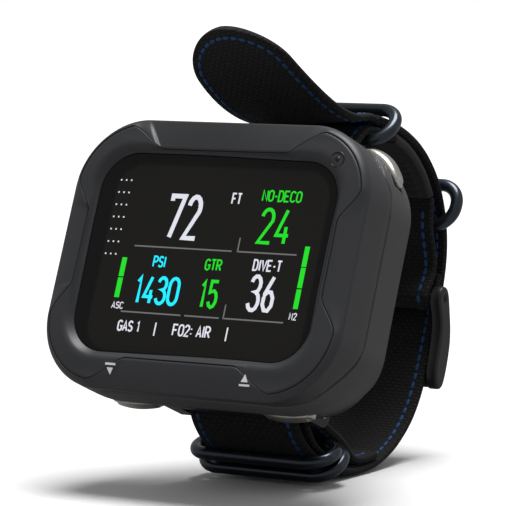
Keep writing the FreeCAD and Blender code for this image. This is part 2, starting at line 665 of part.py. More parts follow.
def tail_section(share, half_width, half_thick):
    """Rectangle across the tail at one station."""
    step = 0.005
    ahead = (bezier(TAIL_LINE, min(share + step, 1)) - bezier(TAIL_LINE, max(share - step, 0))).normalize()
    across = bezier(TAIL_ACROSS, share)
    across = (across - ahead * across.dot(ahead)).normalize()
    out = ahead.cross(across)
    centre = bezier(TAIL_LINE, share)
    corners = [centre + across * (i * half_width) + out * (k * half_thick)
               for i, k in ((1, 1), (-1, 1), (-1, -1), (1, -1))]
    return Part.makePolygon(corners + corners[:1])


def make_tail():
    """Free end of the strap, lofted through its stations, narrowing to a round tip."""
    length = sum((bezier(TAIL_LINE, (i + 1) / 100) - bezier(TAIL_LINE, i / 100)).Length for i in range(100))
    half, thick = size("strap_width") / 2, size("strap_thick")
    sections = []
    for share in TAIL_STATIONS:
        travelled = sum((bezier(TAIL_LINE, share * (i + 1) / 100) - bezier(TAIL_LINE, share * i / 100)).Length
                        for i in range(100))
        into_tip = max(0.0, (travelled - (length - TAIL_ROUND)) / TAIL_ROUND)
        sections.append(tail_section(share, half * math.sqrt(1 - into_tip ** 2), thick / 2))
    tail = doc.addObject("Part::Feature", "strap_tail")
    tail.Label = "strap_tail"
    tail.Shape = Part.makeLoft(sections, True, True)


# ---------------------------------------------------------------- rings
# Each ring: middle of the ring as (Y, Z), and the direction from one bar to the other in degrees.
RINGS = {
    "ring_top": (42.0, 47.6, 61.0),
    "ring_rear": (80.5, 39.4, -97.0),
    "ring_lower_front": (43.9, -35.5, -144.3),
    "ring_lower_rear": (48.3, -36.4, -130.0),
}


def make_ring(name, y, z, angle):
    """Steel rod bent into a rounded rectangle and welded shut."""
    body = new_body(name)
    path = new_sketch(body, f"{name}_path", "XZ_Plane", "0")
    rounded_rectangle(path, "2 * Sizes.ring_half", "Sizes.ring_bars", "Sizes.ring_bend")
    rod = new_sketch(body, f"{name}_rod", "YZ_Plane", "0")
    circles(rod, [("0", "Sizes.ring_bars / 2")], "Sizes.ring_rod")
    pipe = body.newObject("PartDesign::AdditivePipe", f"{name}_pipe")
    pipe.Profile = rod
    pipe.Spine = (path, [f"Edge{i}" for i in range(1, 9)])
    own = FreeCAD.Placement(V(0, y, z), FreeCAD.Rotation(V(1, 0, 0), angle - 90))
    return body, own


# ---------------------------------------------------------------- buckle
SIDE_BAR = [(81.4, 17.6), (83.2, 19.0), (85.4, 18.4), (87.6, 14.6), (91.0, 8.0), (91.9, 2.0), (91.9, -4.6),
            (90.6, -6.6), (88.4, -6.6), (86.2, -3.0), (86.0, 4.0), (85.0, 9.4), (82.4, 13.0), (81.3, 14.6)]
CROSS_BAR = [(89.8, -6.4), (91.2, -5.8), (91.6, -3.8), (90.9, -2.2), (89.8, -2.2)]
TANG_TIP = (93.7, -5.2)


def make_buckle():
    """Moulded frame with two side bars and a cross bar, its pin, and the tang that turns on the pin."""
    frame = new_body("buckle_frame")
    for tag, side in (("left", -1), ("right", 1)):
        middle = f"{side} * (Sizes.buckle_half - Sizes.buckle_bar / 2)"
        sketch = new_sketch(frame, f"buckle_side_{tag}", "YZ_Plane", middle)
        polygon(sketch, SIDE_BAR)
        pad(frame, sketch, "Sizes.buckle_bar", both_ways=True)
    cross = new_sketch(frame, "buckle_cross_bar", "YZ_Plane", "0")
    polygon(cross, CROSS_BAR)
    pad(frame, cross, "2 * Sizes.buckle_half", both_ways=True)
    bore = new_sketch(frame, "buckle_bore", "YZ_Plane", "0")
    circles(bore, [("Sizes.pin_y", "Sizes.pin_z")], "Sizes.pin_r + 0.02")
    pocket(frame, bore, "60", both_ways=True)
    pin = new_body("buckle_pin")
    bar = new_sketch(pin, "buckle_pin_circle", "YZ_Plane", "0")
    circles(bar, [("Sizes.pin_y", "Sizes.pin_z")], "Sizes.pin_r")
    pad(pin, bar, "2 * Sizes.buckle_half - 0.6", both_ways=True)
    tang = new_body("buckle_tang")
    eye = new_sketch(tang, "tang_eye", "YZ_Plane", "0")
    circles(eye, [("Sizes.pin_y", "Sizes.pin_z")], "2.1")
    pad(tang, eye, "2 * Sizes.slot_half - 1", both_ways=True)
    reach = V(TANG_TIP[0] - size("pin_y"), TANG_TIP[1] - size("pin_z"), 0)
    turn = math.degrees(math.atan2(reach.y, reach.x))
    rod = tang.newObject("PartDesign::AdditiveCylinder", "tang_rod")
    rod.AttachmentSupport = [(origin_plane(tang, "YZ_Plane"), "")]
    rod.MapMode = "FlatFace"
    spin = FreeCAD.Rotation(V(0, 0, 1), turn).multiply(FreeCAD.Rotation(V(0, 1, 0), 90))
    rod.AttachmentOffset = FreeCAD.Placement(V(size("pin_y"), size("pin_z"), 0), spin)
    rod.Radius = 0.95
    rod.Height = reach.Length
    eye_bore = new_sketch(tang, "tang_bore", "YZ_Plane", "0")
    circles(eye_bore, [("Sizes.pin_y", "Sizes.pin_z")], "Sizes.pin_r + 0.06")
    pocket(tang, eye_bore, "10", both_ways=True)


# ---------------------------------------------------------------- build, check and write
make_front_bezel()
make_lens_stack()
make_electronics()
make_tub()
make_buttons()
make_grip_band()
make_rear_cover()
make_fasteners()
make_lug("lug_top", 1)
make_lug("lug_bottom", -1)
make_straps()
make_tail()
own_places = {}
for ring_name, (ring_y, ring_z, ring_angle) in RINGS.items():
    ring_body, own_places[ring_name] = make_ring(ring_name, ring_y, ring_z, ring_angle)
make_buckle()
doc.recompute()

nodes = [item for item in doc.Objects if item.TypeId in ("PartDesign::Body", "Part::Feature")]
for node in nodes:
    node.Placement = STANCE.multiply(own_places.get(node.Label, FreeCAD.Placement()))
doc.recompute()

for item in doc.Objects:
    if "Invalid" in item.State or "Error" in item.State:
        raise ValueError(f"{item.Label} failed: {item.State}")
for node in nodes:
    if node.Shape.isNull() or not node.Shape.isValid() or not node.Shape.Solids:
        raise ValueError(f"{node.Label} has no valid solid")
for node in nodes:
    node.Shape.exportStep(f"parts/{node.Label}.step")
    box = node.Shape.BoundBox
    print(f"{node.Label:24s} {len(node.Shape.Solids)} solids {node.Shape.Volume:10.1f} mm3",
          f"X {box.XMin:6.1f} {box.XMax:6.1f}",
          f"Y {box.YMin:6.1f} {box.YMax:6.1f}",
          f"Z {box.ZMin:6.1f} {box.ZMax:6.1f}")
print(len(nodes), "nodes")
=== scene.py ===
import math
import bmesh
import bpy
import numpy as np
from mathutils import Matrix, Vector


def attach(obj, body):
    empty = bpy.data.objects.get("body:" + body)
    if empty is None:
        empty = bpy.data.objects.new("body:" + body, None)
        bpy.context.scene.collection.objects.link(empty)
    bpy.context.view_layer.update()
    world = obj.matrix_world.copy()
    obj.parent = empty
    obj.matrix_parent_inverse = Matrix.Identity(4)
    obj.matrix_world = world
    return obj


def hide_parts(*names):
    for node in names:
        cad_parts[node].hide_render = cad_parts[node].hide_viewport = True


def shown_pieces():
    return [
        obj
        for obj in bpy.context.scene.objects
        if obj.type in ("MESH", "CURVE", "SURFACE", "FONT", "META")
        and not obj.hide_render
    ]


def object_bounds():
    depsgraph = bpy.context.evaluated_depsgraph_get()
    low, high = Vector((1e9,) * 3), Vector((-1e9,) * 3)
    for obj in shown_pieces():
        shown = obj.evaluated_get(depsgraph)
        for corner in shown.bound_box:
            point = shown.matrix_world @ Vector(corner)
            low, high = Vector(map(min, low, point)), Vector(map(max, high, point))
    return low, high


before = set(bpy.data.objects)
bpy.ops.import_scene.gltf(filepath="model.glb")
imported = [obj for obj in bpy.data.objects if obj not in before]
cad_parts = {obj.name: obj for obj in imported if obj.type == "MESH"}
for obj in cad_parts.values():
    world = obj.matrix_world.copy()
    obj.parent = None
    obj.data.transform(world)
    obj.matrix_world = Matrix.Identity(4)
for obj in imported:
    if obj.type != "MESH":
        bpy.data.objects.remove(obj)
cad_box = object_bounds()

# -------------------------------------------------- camera
# A long lens a little above the face and well to the right of it, looking slightly down.


def added(name, data):
    """A new object, linked into the scene."""
    thing = bpy.data.objects.new(name, data)
    bpy.context.scene.collection.objects.link(thing)
    return thing


camera_data = bpy.data.cameras.new("camera")
camera_data.lens = 220.6
camera_data.sensor_width = 36.0
camera_data.clip_start = 0.05
camera = added("camera", camera_data)
camera.location = (0.3928, -0.6601, 0.0841)
camera.rotation_euler = (math.radians(84.6), 0.0, math.radians(32.0))
bpy.context.scene.camera = camera

# -------------------------------------------------- bezel
# The front shell is one moulding in fine satin black nylon. A lip slopes up from the glass to a flat
# rim, a fine groove is let into the rim, and outside it the rim falls away to a ridge and side wall.
LEAN = math.radians(21.8)
WRIST = (55.0, 6.0)
CASE = (41.0, 33.6, 18.0)
GLASS = (32.9, 24.55, 9.5)
GLASS_MIDDLE = (-0.45, 0.4)


def stand(points):
    """Case measures in mm (right, back, up the face) leaned back about the wrist's middle, in metres."""
    points = np.asarray(points, float)
    back, up = points[..., 1] - WRIST[0], points[..., 2] - WRIST[1]
    turned_back = back * math.cos(LEAN) + up * math.sin(LEAN)
    turned_up = up * math.cos(LEAN) - back * math.sin(LEAN)
    return np.stack([points[..., 0], turned_back, turned_up], -1) / 1000


def new_piece(name, points, faces, body, replaces=(), smooth=True):
    """A mesh from case measures and a list of faces, riding on a body."""
    mesh = bpy.data.meshes.new(name)
    mesh.from_pydata(stand(points).reshape(-1, 3).tolist(), [], [list(map(int, face)) for face in faces])
    mesh.update()
    if smooth:
        mesh.shade_smooth()
    piece = added(name, mesh)
    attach(piece, body)
    if replaces:
        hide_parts(*replaces)
    return piece


def wrapped_faces(rows, columns, flip=False):
    """Quads of a grid whose columns close into a ring. They face outwards where the columns run
    anticlockwise seen from the front and the rows go back, and flip turns them over."""
    i, j = np.meshgrid(np.arange(rows - 1), np.arange(columns), indexing="ij")
    k = (j + 1) % columns
    quads = np.stack([i * columns + j, i * columns + k, (i + 1) * columns + k, (i + 1) * columns + j], -1)
    quads = quads.reshape(-1, 4)
    return quads if flip else quads[:, ::-1]


def reach(angle, half_x, half_z, corner):
    """Distance from the middle to a rounded rectangle along an angle: a straight side's distance over the
    angle's cosine or sine, or the root of the corner circle's equation where the ray meets a corner."""
    c, s = np.abs(np.cos(angle)) + 1e-12, np.abs(np.sin(angle)) + 1e-12
    side, top = half_x / c, half_z / s
    qx, qz = half_x - corner, half_z - corner
    along = c * qx + s * qz
    root = np.sqrt(np.maximum(along ** 2 - qx ** 2 - qz ** 2 + corner ** 2, 0))
    return np.where(side * s <= qz, side, np.where(top * c <= qx, top, along + root))


def smooth_step(value, low, high):
    """0 below low and 1 above high, with a cubic ease between."""
    t = np.clip((value - low) / (high - low), 0, 1)
    return t * t * (3 - 2 * t)


def outline_angles(count):
    """Angles of points spaced evenly round the case's outline."""
    dense = np.linspace(0, 2 * math.pi, 20001)
    radius = reach(dense, *CASE)
    x, z = radius * np.cos(dense), radius * np.sin(dense)
    travelled = np.concatenate([[0], np.cumsum(np.hypot(np.diff(x), np.diff(z)))])
    wanted = np.linspace(0, travelled[-1], count, endpoint=False)
    return np.interp(wanted, travelled, dense)


def ring_row(radius, depth):
    """One closed row of points at a distance from the middle and a depth behind the glass."""
    depth = np.broadcast_to(depth, radius.shape)
    return np.stack([radius * np.cos(turn), depth, radius * np.sin(turn)], -1)


OUTLINE_POINTS = 960
turn = outline_angles(OUTLINE_POINTS)


def opening(inset):
    """Distance to the screen opening, drawn in by an inset. Its middle is a little off the case's, which
    adds the offset's part along each angle."""
    away = GLASS_MIDDLE[0] * np.cos(turn) + GLASS_MIDDLE[1] * np.sin(turn)
    return reach(turn, GLASS[0] - inset, GLASS[1] - inset, max(GLASS[2] - inset, 1.0)) + away


glass_reach = opening(0.0)
case_reach = reach(turn, *CASE)


def groove_reach(angle):
    """Distance of the groove: beside the glass along the sides, near the outline round the corners, with
    a slanting step between them where the height or the sideways place passes set marks."""
    near = reach(angle, GLASS[0] + 1.85, GLASS[1] + 1.35, GLASS[2] + 1.6)
    far = reach(angle, CASE[0] - 1.7, CASE[1] - 1.75, CASE[2] - 1.7)
    x, z = case_reach * np.cos(angle), case_reach * np.sin(angle)
    beside = np.abs(x) > CASE[0] - 6
    up_side = np.where(z > 0, smooth_step(z, 11.5, 19.0), smooth_step(-z, 9.5, 17.0))
    upright = np.where(beside, up_side, 1)
    across_top = smooth_step(np.abs(x), 22.7, 28.4)
    across_bottom = smooth_step(np.abs(x), 19.5, 27.0)
    level = np.where(np.abs(z) > CASE[1] - 3, np.where(z > 0, across_top, across_bottom), 1)
    share = np.minimum(upright, level)
    return near + (far - near) * share


groove = groove_reach(turn)
RIM = 1.5


def rim_depth(distance):
    """Depth of the rim a distance out from the glass: it rises over the lip, then falls a little."""
    return -RIM * smooth_step(distance, 0.1, 2.0) + 0.55 * smooth_step(distance, 2.0, 8.0)


rows = [ring_row(glass_reach - 0.5, 1.2), ring_row(glass_reach - 0.12, 0.9), ring_row(glass_reach, 0.25)]
for share in (0.03, 0.1, 0.2, 0.35, 0.5, 0.65, 0.8, 0.92):
    out = (groove - 0.22 - glass_reach) * share
    rows.append(ring_row(glass_reach + out, rim_depth(out) + 0.1 * (1 - share)))
crest = rim_depth(groove - glass_reach)
for beyond, sunk in ((-0.2, 0.0), (-0.15, 0.08), (-0.1, 0.5), (0.1, 0.5), (0.15, 0.1), (0.2, 0.03)):
    rows.append(ring_row(groove + beyond, crest + sunk))
RIDGE = 0.35
ridge = reach(turn, CASE[0] - RIDGE, CASE[1] - RIDGE, CASE[2] - RIDGE)
for share in (0.08, 0.18, 0.3, 0.45, 0.6, 0.75, 0.88, 0.95, 1.0):
    fall = 0.35 * share + 0.65 * share ** 2.2
    rows.append(ring_row(groove + 0.2 + (ridge - groove - 0.2) * share, crest + 0.03 + (0.15 - crest) * fall))
front_rows = rows[2:]
for inset, depth in ((0.2, 0.35), (0.1, 0.7), (0.12, 1.5), (0.1, 2.5)):
    rows.append(ring_row(reach(turn, CASE[0] - inset, CASE[1] - inset, CASE[2] - inset), depth))


def seam_depth(angle):
    """Depth of the seam between bezel and band. It is deep along the sides and the top, steps forward
    below the lower corners, and dips forward a little at each upper corner."""
    x, z = case_reach * np.cos(angle), case_reach * np.sin(angle)
    lower = smooth_step(-z, 16.0, 29.5)
    under = smooth_step(36.0 - np.abs(x), 2.0, 15.0) * smooth_step(-z, 27.0, 32.0)
    dip = np.exp(-((np.abs(x) - 38.3) / 3.2) ** 2 - ((z - 25.0) / 3.6) ** 2)
    return 11.4 - 4.8 * lower - 3.4 * under - 2.0 * dip


def taper(angle, depth):
    """Inset of the band's outline: it draws in towards the back, and most at the bottom."""
    z = case_reach * np.sin(angle)
    low = smooth_step(-z, 20.0, 33.0)
    return (1.2 + 1.8 * low) * smooth_step(depth, 12.5 - 3.0 * low, 24.5) ** 1.3


seam = seam_depth(turn)
for share in (0.35, 0.7, 1.0):
    rows.append(ring_row(case_reach - 0.05, 2.5 + (seam - 3.3) * share))
for inset, before in ((0.12, 0.3), (0.45, 0.1), (1.2, 0.05)):
    rows.append(ring_row(case_reach - inset, seam - before))
rows.append(ring_row(case_reach - 1.6, seam + 0.6))


def fresh(name):
    """A new material, its node tree and its surface shader."""
    material = bpy.data.materials.new(name)
    material.use_nodes = True
    return material, material.node_tree, material.node_tree.nodes["Principled BSDF"]


def noise_over(tree, place, scale, detail=2):
    """Noise over a place, from 0 to 1."""
    noise = tree.nodes.new("ShaderNodeTexNoise")
    noise.inputs["Scale"].default_value = scale
    noise.inputs["Detail"].default_value = detail
    tree.links.new(place, noise.inputs["Vector"])
    return noise.outputs["Fac"]


def blend(tree, share, first, second):
    """A colour between two, by a share from 0 to 1."""
    tint = tree.nodes.new("ShaderNodeMix")
    tint.data_type = "RGBA"
    tint.inputs[6].default_value = (*first, 1)
    tint.inputs[7].default_value = (*second, 1)
    tree.links.new(share, tint.inputs[0])
    return tint.outputs[2]


def spread_over(tree, value, low, high, start=0.0, stop=1.0):
    """A value's span from start to stop, laid over low to high."""
    span = tree.nodes.new("ShaderNodeMapRange")
    for label, number in (("From Min", start), ("From Max", stop), ("To Min", low), ("To Max", high)):
        span.inputs[label].default_value = number
    tree.links.new(value, span.inputs["Value"])
    return span.outputs[0]


def bumped(tree, shader, height, strength, distance):
    """Shading bump from a height."""
    bump = tree.nodes.new("ShaderNodeBump")
    bump.inputs["Strength"].default_value = strength
    bump.inputs["Distance"].default_value = distance
    tree.links.new(height, bump.inputs["Height"])
    tree.links.new(bump.outputs[0], shader.inputs["Normal"])


def plastic(name, colour, roughness, grain_mm, grain_depth, coat=0.0):
    """Moulded plastic: fine grain as bump, and a slow drift of colour and gloss over the part."""
    material, tree, shader = fresh(name)
    place = tree.nodes.new("ShaderNodeTexCoord").outputs["Object"]
    drift = noise_over(tree, place, 60, 3)
    tint = blend(tree, drift, [c * 0.88 for c in colour], [c * 1.12 for c in colour])
    tree.links.new(tint, shader.inputs["Base Color"])
    gloss = spread_over(tree, drift, roughness - 0.04, roughness + 0.05)
    tree.links.new(gloss, shader.inputs["Roughness"])
    grain = noise_over(tree, place, 1000 / grain_mm)
    bumped(tree, shader, grain, 0.5, grain_depth / 1000)
    shader.inputs["Coat Weight"].default_value = coat
    return material


bezel_faces = wrapped_faces(len(rows), len(turn))
bezel = new_piece("bezel", np.array(rows), bezel_faces, "case", ["front_bezel"])
satin_black = plastic("satin_black_nylon", (0.036, 0.037, 0.041), 0.42, 0.3, 0.02)
bezel.data.materials.append(satin_black)

# -------------------------------------------------- printed marks on the bezel
# Pad-printed white arrows over the two lower buttons, and a small moulded light sensor ring at the
# upper right corner. The arrows are flat films with a faint painted glow, and the sensor is a dark ring round
# a dark window.


def rim_at(x, z):
    """Depth of the bezel's front, from opening to ridge, read between the two nearest rows of points."""
    angle, distance = math.atan2(z, x) % (2 * math.pi), math.hypot(x, z)
    column = int(np.argmin(np.abs((turn - angle + math.pi) % (2 * math.pi) - math.pi)))
    front = np.array([row[column] for row in front_rows])
    return float(np.interp(distance, np.hypot(front[:, 0], front[:, 2]), front[:, 1]))


def mend_normals(piece):
    """Merges doubles and points every face outwards."""
    shape = bmesh.new()
    shape.from_mesh(piece.data)
    bmesh.ops.remove_doubles(shape, verts=shape.verts, dist=1e-6)
    bmesh.ops.recalc_face_normals(shape, faces=shape.faces)
    shape.to_mesh(piece.data)
    shape.free()


def film(name, shapes, thickness):
    """Flat prints: each shape is a closed list of (x, z) corners, laid just above the bezel."""
    points, faces = [], []
    for shape in shapes:
        count, first = len(shape), len(points)
        for lift in (thickness, 0.0):
            points += [(x, rim_at(x, z) - lift - 0.01, z) for x, z in shape]
        faces.append([first + k for k in range(count)])
        faces.append([first + count + k for k in reversed(range(count))])
        faces += [[first + count + k, first + count + (k + 1) % count, first + (k + 1) % count, first + k]
                  for k in range(count)]
    return new_piece(name, points, faces, "case", smooth=False)


def ink(name, colour, glow):
    """Printed or lit colour, with a slight mottle so that it isn't a flat tone. The colour also glows at the
    given strength: the display's own light on the readings, painted glow on printed marks.
    """
    material, tree, shader = fresh(name)
    mottle = noise_over(tree, tree.nodes.new("ShaderNodeTexCoord").outputs["Object"], 4000)
    tint = blend(tree, mottle, [c * 0.9 for c in colour], colour)
    tree.links.new(tint, shader.inputs["Base Color"])
    tree.links.new(tint, shader.inputs["Emission Color"])
    shader.inputs["Emission Strength"].default_value = glow
    shader.inputs["Roughness"].default_value = 0.6
    return material


ARROWS = [
    [(-20.05, -28.0), (-17.25, -28.0), (-17.25, -27.5), (-20.05, -27.5)],
    [(-19.5, -28.6), (-17.8, -28.6), (-18.45, -30.2)],
    [(17.35, -30.3), (20.15, -30.3), (20.15, -29.85), (17.35, -29.85)],
    [(17.8, -29.35), (19.6, -29.35), (18.75, -27.6)],
]
arrows = film("bezel_arrows", ARROWS, 0.16)
mend_normals(arrows)
# The arrows' glow of 0.25 is painted light: printed ink that shines though it is no lamp.
arrows.data.materials.append(ink("white_print_painted_glow", (0.75, 0.75, 0.76), 0.25))

SENSOR = (31.5, 24.8)
around = np.linspace(0, 2 * math.pi, 48, endpoint=False)
sensor_level = rim_at(*SENSOR)
SENSOR_PARTS = {"ring": [(1.98, 0.1), (1.93, -0.03), (1.62, -0.03), (1.57, 0.1)],
                "window": [(0.78, 0.1), (0.72, -0.03), (0.02, -0.03)]}
sensor_black = plastic("sensor_black", (0.003, 0.003, 0.003), 0.4, 0.4, 0.005)
for label, sensor_rows in SENSOR_PARTS.items():
    sensor_points = []
    for r, d in sensor_rows:
        sensor_points.append([(SENSOR[0] + r * math.cos(a), sensor_level + d, SENSOR[1] + r * math.sin(a))
                              for a in around])
    sensor_faces = wrapped_faces(len(sensor_rows), len(around), True)
    sensor = new_piece(f"light_sensor_{label}", np.array(sensor_points), sensor_faces, "case")
    sensor.data.materials.append(sensor_black)

# -------------------------------------------------- glass
# Hard coated flat glass bonded into the bezel. Black is printed round the back of its edge, so that
# the border reads darker than the lit panel behind the middle.
glass_rows = []
for inset, depth in ((0.05, 1.9), (0.05, 0.34), (0.15, 0.22), (0.35, 0.2), (3.0, 0.2), (8.0, 0.2)):
    glass_rows.append(ring_row(opening(inset), depth))
for share in (0.5, 0.2, 0.0):
    glass_rows.append(ring_row(opening(8.0) * share, 0.2))
glass_faces = wrapped_faces(len(glass_rows), len(turn), True)
glass = new_piece("glass", np.array(glass_rows), glass_faces, "case", ["screen_lens"])


def axis_in_case(tree, place, middle):
    """Object place turned back into the case's own upright frame, centred on a point given in mm."""
    mapping = tree.nodes.new("ShaderNodeMapping")
    mapping.vector_type = "TEXTURE"
    mapping.inputs["Location"].default_value = tuple(stand(middle))
    mapping.inputs["Rotation"].default_value = (-LEAN, 0, 0)
    tree.links.new(place.outputs["Object"], mapping.inputs["Vector"])
    split = tree.nodes.new("ShaderNodeSeparateXYZ")
    tree.links.new(mapping.outputs[0], split.inputs[0])
    return split


def sums(tree, operation, *values):
    """One Math node fed by sockets or numbers."""
    node = tree.nodes.new("ShaderNodeMath")
    node.operation = operation
    for socket, value in zip(node.inputs, values):
        if isinstance(value, (int, float)):
            socket.default_value = value
        else:
            tree.links.new(value, socket)
    return node.outputs[0]


def glass_finish():
    """Near-black glass: a rounded lit field, found from its distance formula, is a little warmer."""
    material, tree, shader = fresh("coated_glass")
    split = axis_in_case(tree, tree.nodes.new("ShaderNodeTexCoord"), (1.0, 0.2, -1.0))
    squares = []
    for axis, straight in (("X", 0.0225), ("Z", 0.0160)):
        beyond = sums(tree, "SUBTRACT", sums(tree, "ABSOLUTE", split.outputs[axis]), straight)
        over = sums(tree, "MAXIMUM", beyond, 0.0)
        squares.append(sums(tree, "MULTIPLY", over, over))
    spread = sums(tree, "SQRT", sums(tree, "ADD", *squares))
    field = spread_over(tree, spread, 1.0, 0.0, 0.0068, 0.0076)
    tint = blend(tree, field, (0.0045, 0.0045, 0.0045), (0.0125, 0.0118, 0.0105))
    tree.links.new(tint, shader.inputs["Base Color"])
    shader.inputs["Roughness"].default_value = 0.12
    shader.inputs["Specular IOR Level"].default_value = 0.25
    return material


glass.data.materials.append(glass_finish())

# -------------------------------------------------- readings on the screen
# Lit numerals, labels, rules and bar graphs of the dive page. Each colour is one thin film just over
# the glass, laid out in millimetres from the middle of the screen.
FACE = 0.2
SHOWN = FACE - 0.03


def bow(cx, cz, rx, rz, start, stop):
    """Points on an arc of an ellipse, from one angle to another in degrees."""
    spread = np.radians(np.linspace(start, stop, 9))
    return [(cx + rx * math.cos(a), cz + rz * math.sin(a)) for a in spread]


RING = bow(0.5, 0.72, 0.5, 0.28, 0, 180) + bow(0.5, 0.28, 0.5, 0.28, 180, 360) + [(1, 0.72)]
HOOK = bow(0.5, 0.72, 0.5, 0.28, 25, 180) + bow(0.5, 0.28, 0.5, 0.28, 180, 335)
STROKES = {
    "0": [RING], "O": [RING], "C": [HOOK], "G": [HOOK + [(1, 0.46), (0.55, 0.46)]],
    "1": [[(0.15, 0.8), (0.6, 1), (0.6, 0)]],
    "2": [bow(0.5, 0.74, 0.46, 0.26, 170, -20) + [(0.0, 0.0), (1, 0.0)]],
    "3": [bow(0.5, 0.76, 0.45, 0.24, 165, -75) + [(0.35, 0.54), (0.62, 0.54)]
          + bow(0.5, 0.27, 0.5, 0.27, 70, -165)],
    "4": [[(0.62, 1), (0.0, 0.24), (1, 0.24)], [(0.72, 0.5), (0.72, 0)]],
    "5": [[(0.92, 1), (0.1, 1), (0.06, 0.56)] + bow(0.5, 0.32, 0.48, 0.32, 115, -160)],
    "6": [[(0.72, 1), (0.1, 0.5)] + bow(0.5, 0.29, 0.47, 0.29, 155, -205)],
    "7": [[(0.0, 0.88), (0.0, 1), (1, 1), (0.3, 0)]],
    "A": [[(0, 0), (0.5, 1), (1, 0)], [(0.16, 0.3), (0.84, 0.3)]],
    "D": [[(0, 0), (0, 1)] + bow(0.45, 0.66, 0.5, 0.34, 90, 0) + bow(0.45, 0.34, 0.5, 0.34, 0, -90)
          + [(0, 0)]],
    "E": [[(0.95, 1), (0, 1), (0, 0), (0.95, 0)], [(0, 0.52), (0.8, 0.52)]],
    "F": [[(0.95, 1), (0, 1), (0, 0)], [(0, 0.5), (0.8, 0.5)]],
    "I": [[(0.5, 0), (0.5, 1)]], "N": [[(0, 0), (0, 1), (1, 0), (1, 1)]],
    "P": [[(0, 0), (0, 1)] + bow(0.5, 0.74, 0.48, 0.26, 90, -90) + [(0, 0.48)]],
    "R": [[(0, 0), (0, 1)] + bow(0.5, 0.74, 0.48, 0.26, 90, -90) + [(0, 0.48)], [(0.45, 0.48), (1, 0)]],
    "S": [bow(0.5, 0.75, 0.46, 0.25, 20, 270) + bow(0.5, 0.25, 0.48, 0.25, 90, -160)],
    "T": [[(0, 1), (1, 1)], [(0.5, 1), (0.5, 0)]], "V": [[(0, 1), (0.5, 0), (1, 1)]],
    "-": [[(0.1, 0.45), (0.9, 0.45)]], ":": [[(0.5, 0.18), (0.5, 0.3)], [(0.5, 0.62), (0.5, 0.74)]], " ": [],
}
NARROW = {"I": 0.25, "1": 0.62, "-": 0.55, ":": 0.25, " ": 0.5}


def ribbon(path, half):
    """Corners of a stroke: each point moves both ways along the bisector of its two runs, by the half
    width over the cosine of half the turn, held to 1.6 half widths at sharp corners."""
    path = np.array(path)
    runs = np.diff(path, axis=0)
    keep = np.hypot(*runs.T) > 1e-3
    path, runs = np.vstack([path[:-1][keep], path[-1]]), runs[keep]
    runs /= np.hypot(*runs.T)[:, None]
    before, after = np.vstack([runs[:1], runs]), np.vstack([runs, runs[-1:]])
    if np.hypot(*(path[0] - path[-1])) < 1e-3:
        before[0], after[-1] = runs[-1], runs[0]
    bisect = before + after
    bisect /= np.maximum(np.hypot(*bisect.T), 1e-6)[:, None]
    reach_out = half / np.clip((bisect * after).sum(1), 1 / 1.6, 1)
    side = np.column_stack([-bisect[:, 1], bisect[:, 0]]) * reach_out[:, None]
    return path + side, path - side


def lettering(words):
    """Words as flat strokes: each word fills its own box on the face, letter by letter."""
    points, faces = [], []
    for text, left, right, low, high, weight in words:
        half = weight / 2
        shares = np.array([NARROW.get(letter, 1.0) for letter in text])
        space = 0.36 if len(text) > 2 else 0.42
        starts = np.concatenate([[0], np.cumsum(shares + space)])
        unit = (right - left - weight) / (starts[-1] - space)
        for letter, start, share in zip(text, starts, shares):
            for stroke in STROKES[letter]:
                placed = [(left + half + unit * (start + share * x), low + half + (high - low - weight) * z)
                          for x, z in stroke]
                first = len(points)
                for ahead, behind in zip(*ribbon(placed, half)):
                    points += [(ahead[0], SHOWN, ahead[1]), (behind[0], SHOWN, behind[1])]
                faces += [[k, k + 1, k + 3, k + 2] for k in range(first, len(points) - 2, 2)]
    return points, faces


def readings(name, words, bars, colour, glow):
    """Words and solid bars of one colour, as one piece a hair above the glass."""
    points, faces = lettering(words)
    for left, right, low, high in bars:
        first = len(points)
        points += [(x, SHOWN, z) for x, z in ((left, low), (right, low), (right, high), (left, high))]
        faces.append([first, first + 1, first + 2, first + 3])
    piece = new_piece(name, points, faces, "case", smooth=False)
    away = stand((0, -1, 0)) - stand((0, 0, 0))
    for face in piece.data.polygons:
        if face.normal.dot(Vector(away)) < 0:
            face.flip()
    piece.data.update()
    piece.data.materials.append(ink(name + "_light", colour, glow))


LARGE, MEDIUM, LABEL, SMALL = 1.18, 0.95, 0.42, 0.26
WHITE_WORDS = [
    ("72", -12.6, -3.1, 3.8, 15.2, LARGE), ("FT", 4.3, 7.1, 13.2, 16.1, LABEL),
    ("DIVE-T", 13.8, 21.7, -2.6, 0.3, LABEL), ("36", 13.9, 21.5, -12.5, -3.3, MEDIUM),
    ("N2", 26.2, 28.3, -13.7, -11.9, SMALL), ("ASC", -23.0, -19.6, -13.9, -12.1, SMALL),
    ("GAS 1", -20.1, -13.6, -19.3, -16.5, LABEL), ("FO2: AIR", -4.5, 6.1, -19.5, -16.5, LABEL),
]
WHITE_BARS = [(-9.6, -9.2, -19.8, -16.6), (10.3, 10.7, -19.8, -16.5)]
for line in range(7):
    for dot in range(3):
        WHITE_BARS.append((-28.05 + 1.45 * dot, -27.65 + 1.45 * dot, 17.8 - 3.08 * line, 18.2 - 3.08 * line))
GREEN_WORDS = [("NO-DECO", 12.5, 23.3, 14.3, 17.2, LABEL), ("24", 13.2, 22.0, 3.9, 12.9, 0.88),
               ("GTR", 0.7, 5.4, -3.2, -0.3, LABEL), ("15", 0.8, 6.1, -12.4, -5.3, 0.82)]
GREEN_BARS = [(26.8, 28.1, -0.9, 4.0), (26.8, 28.1, -6.0, -1.1), (26.8, 28.1, -11.0, -6.3),
              (-22.8, -21.4, -5.9, -1.2), (-22.8, -21.4, -11.1, -6.2)]
CYAN_WORDS = [("PSI", -13.9, -10.2, -3.2, -0.3, LABEL), ("1430", -17.4, -4.8, -12.4, -5.2, 0.82)]
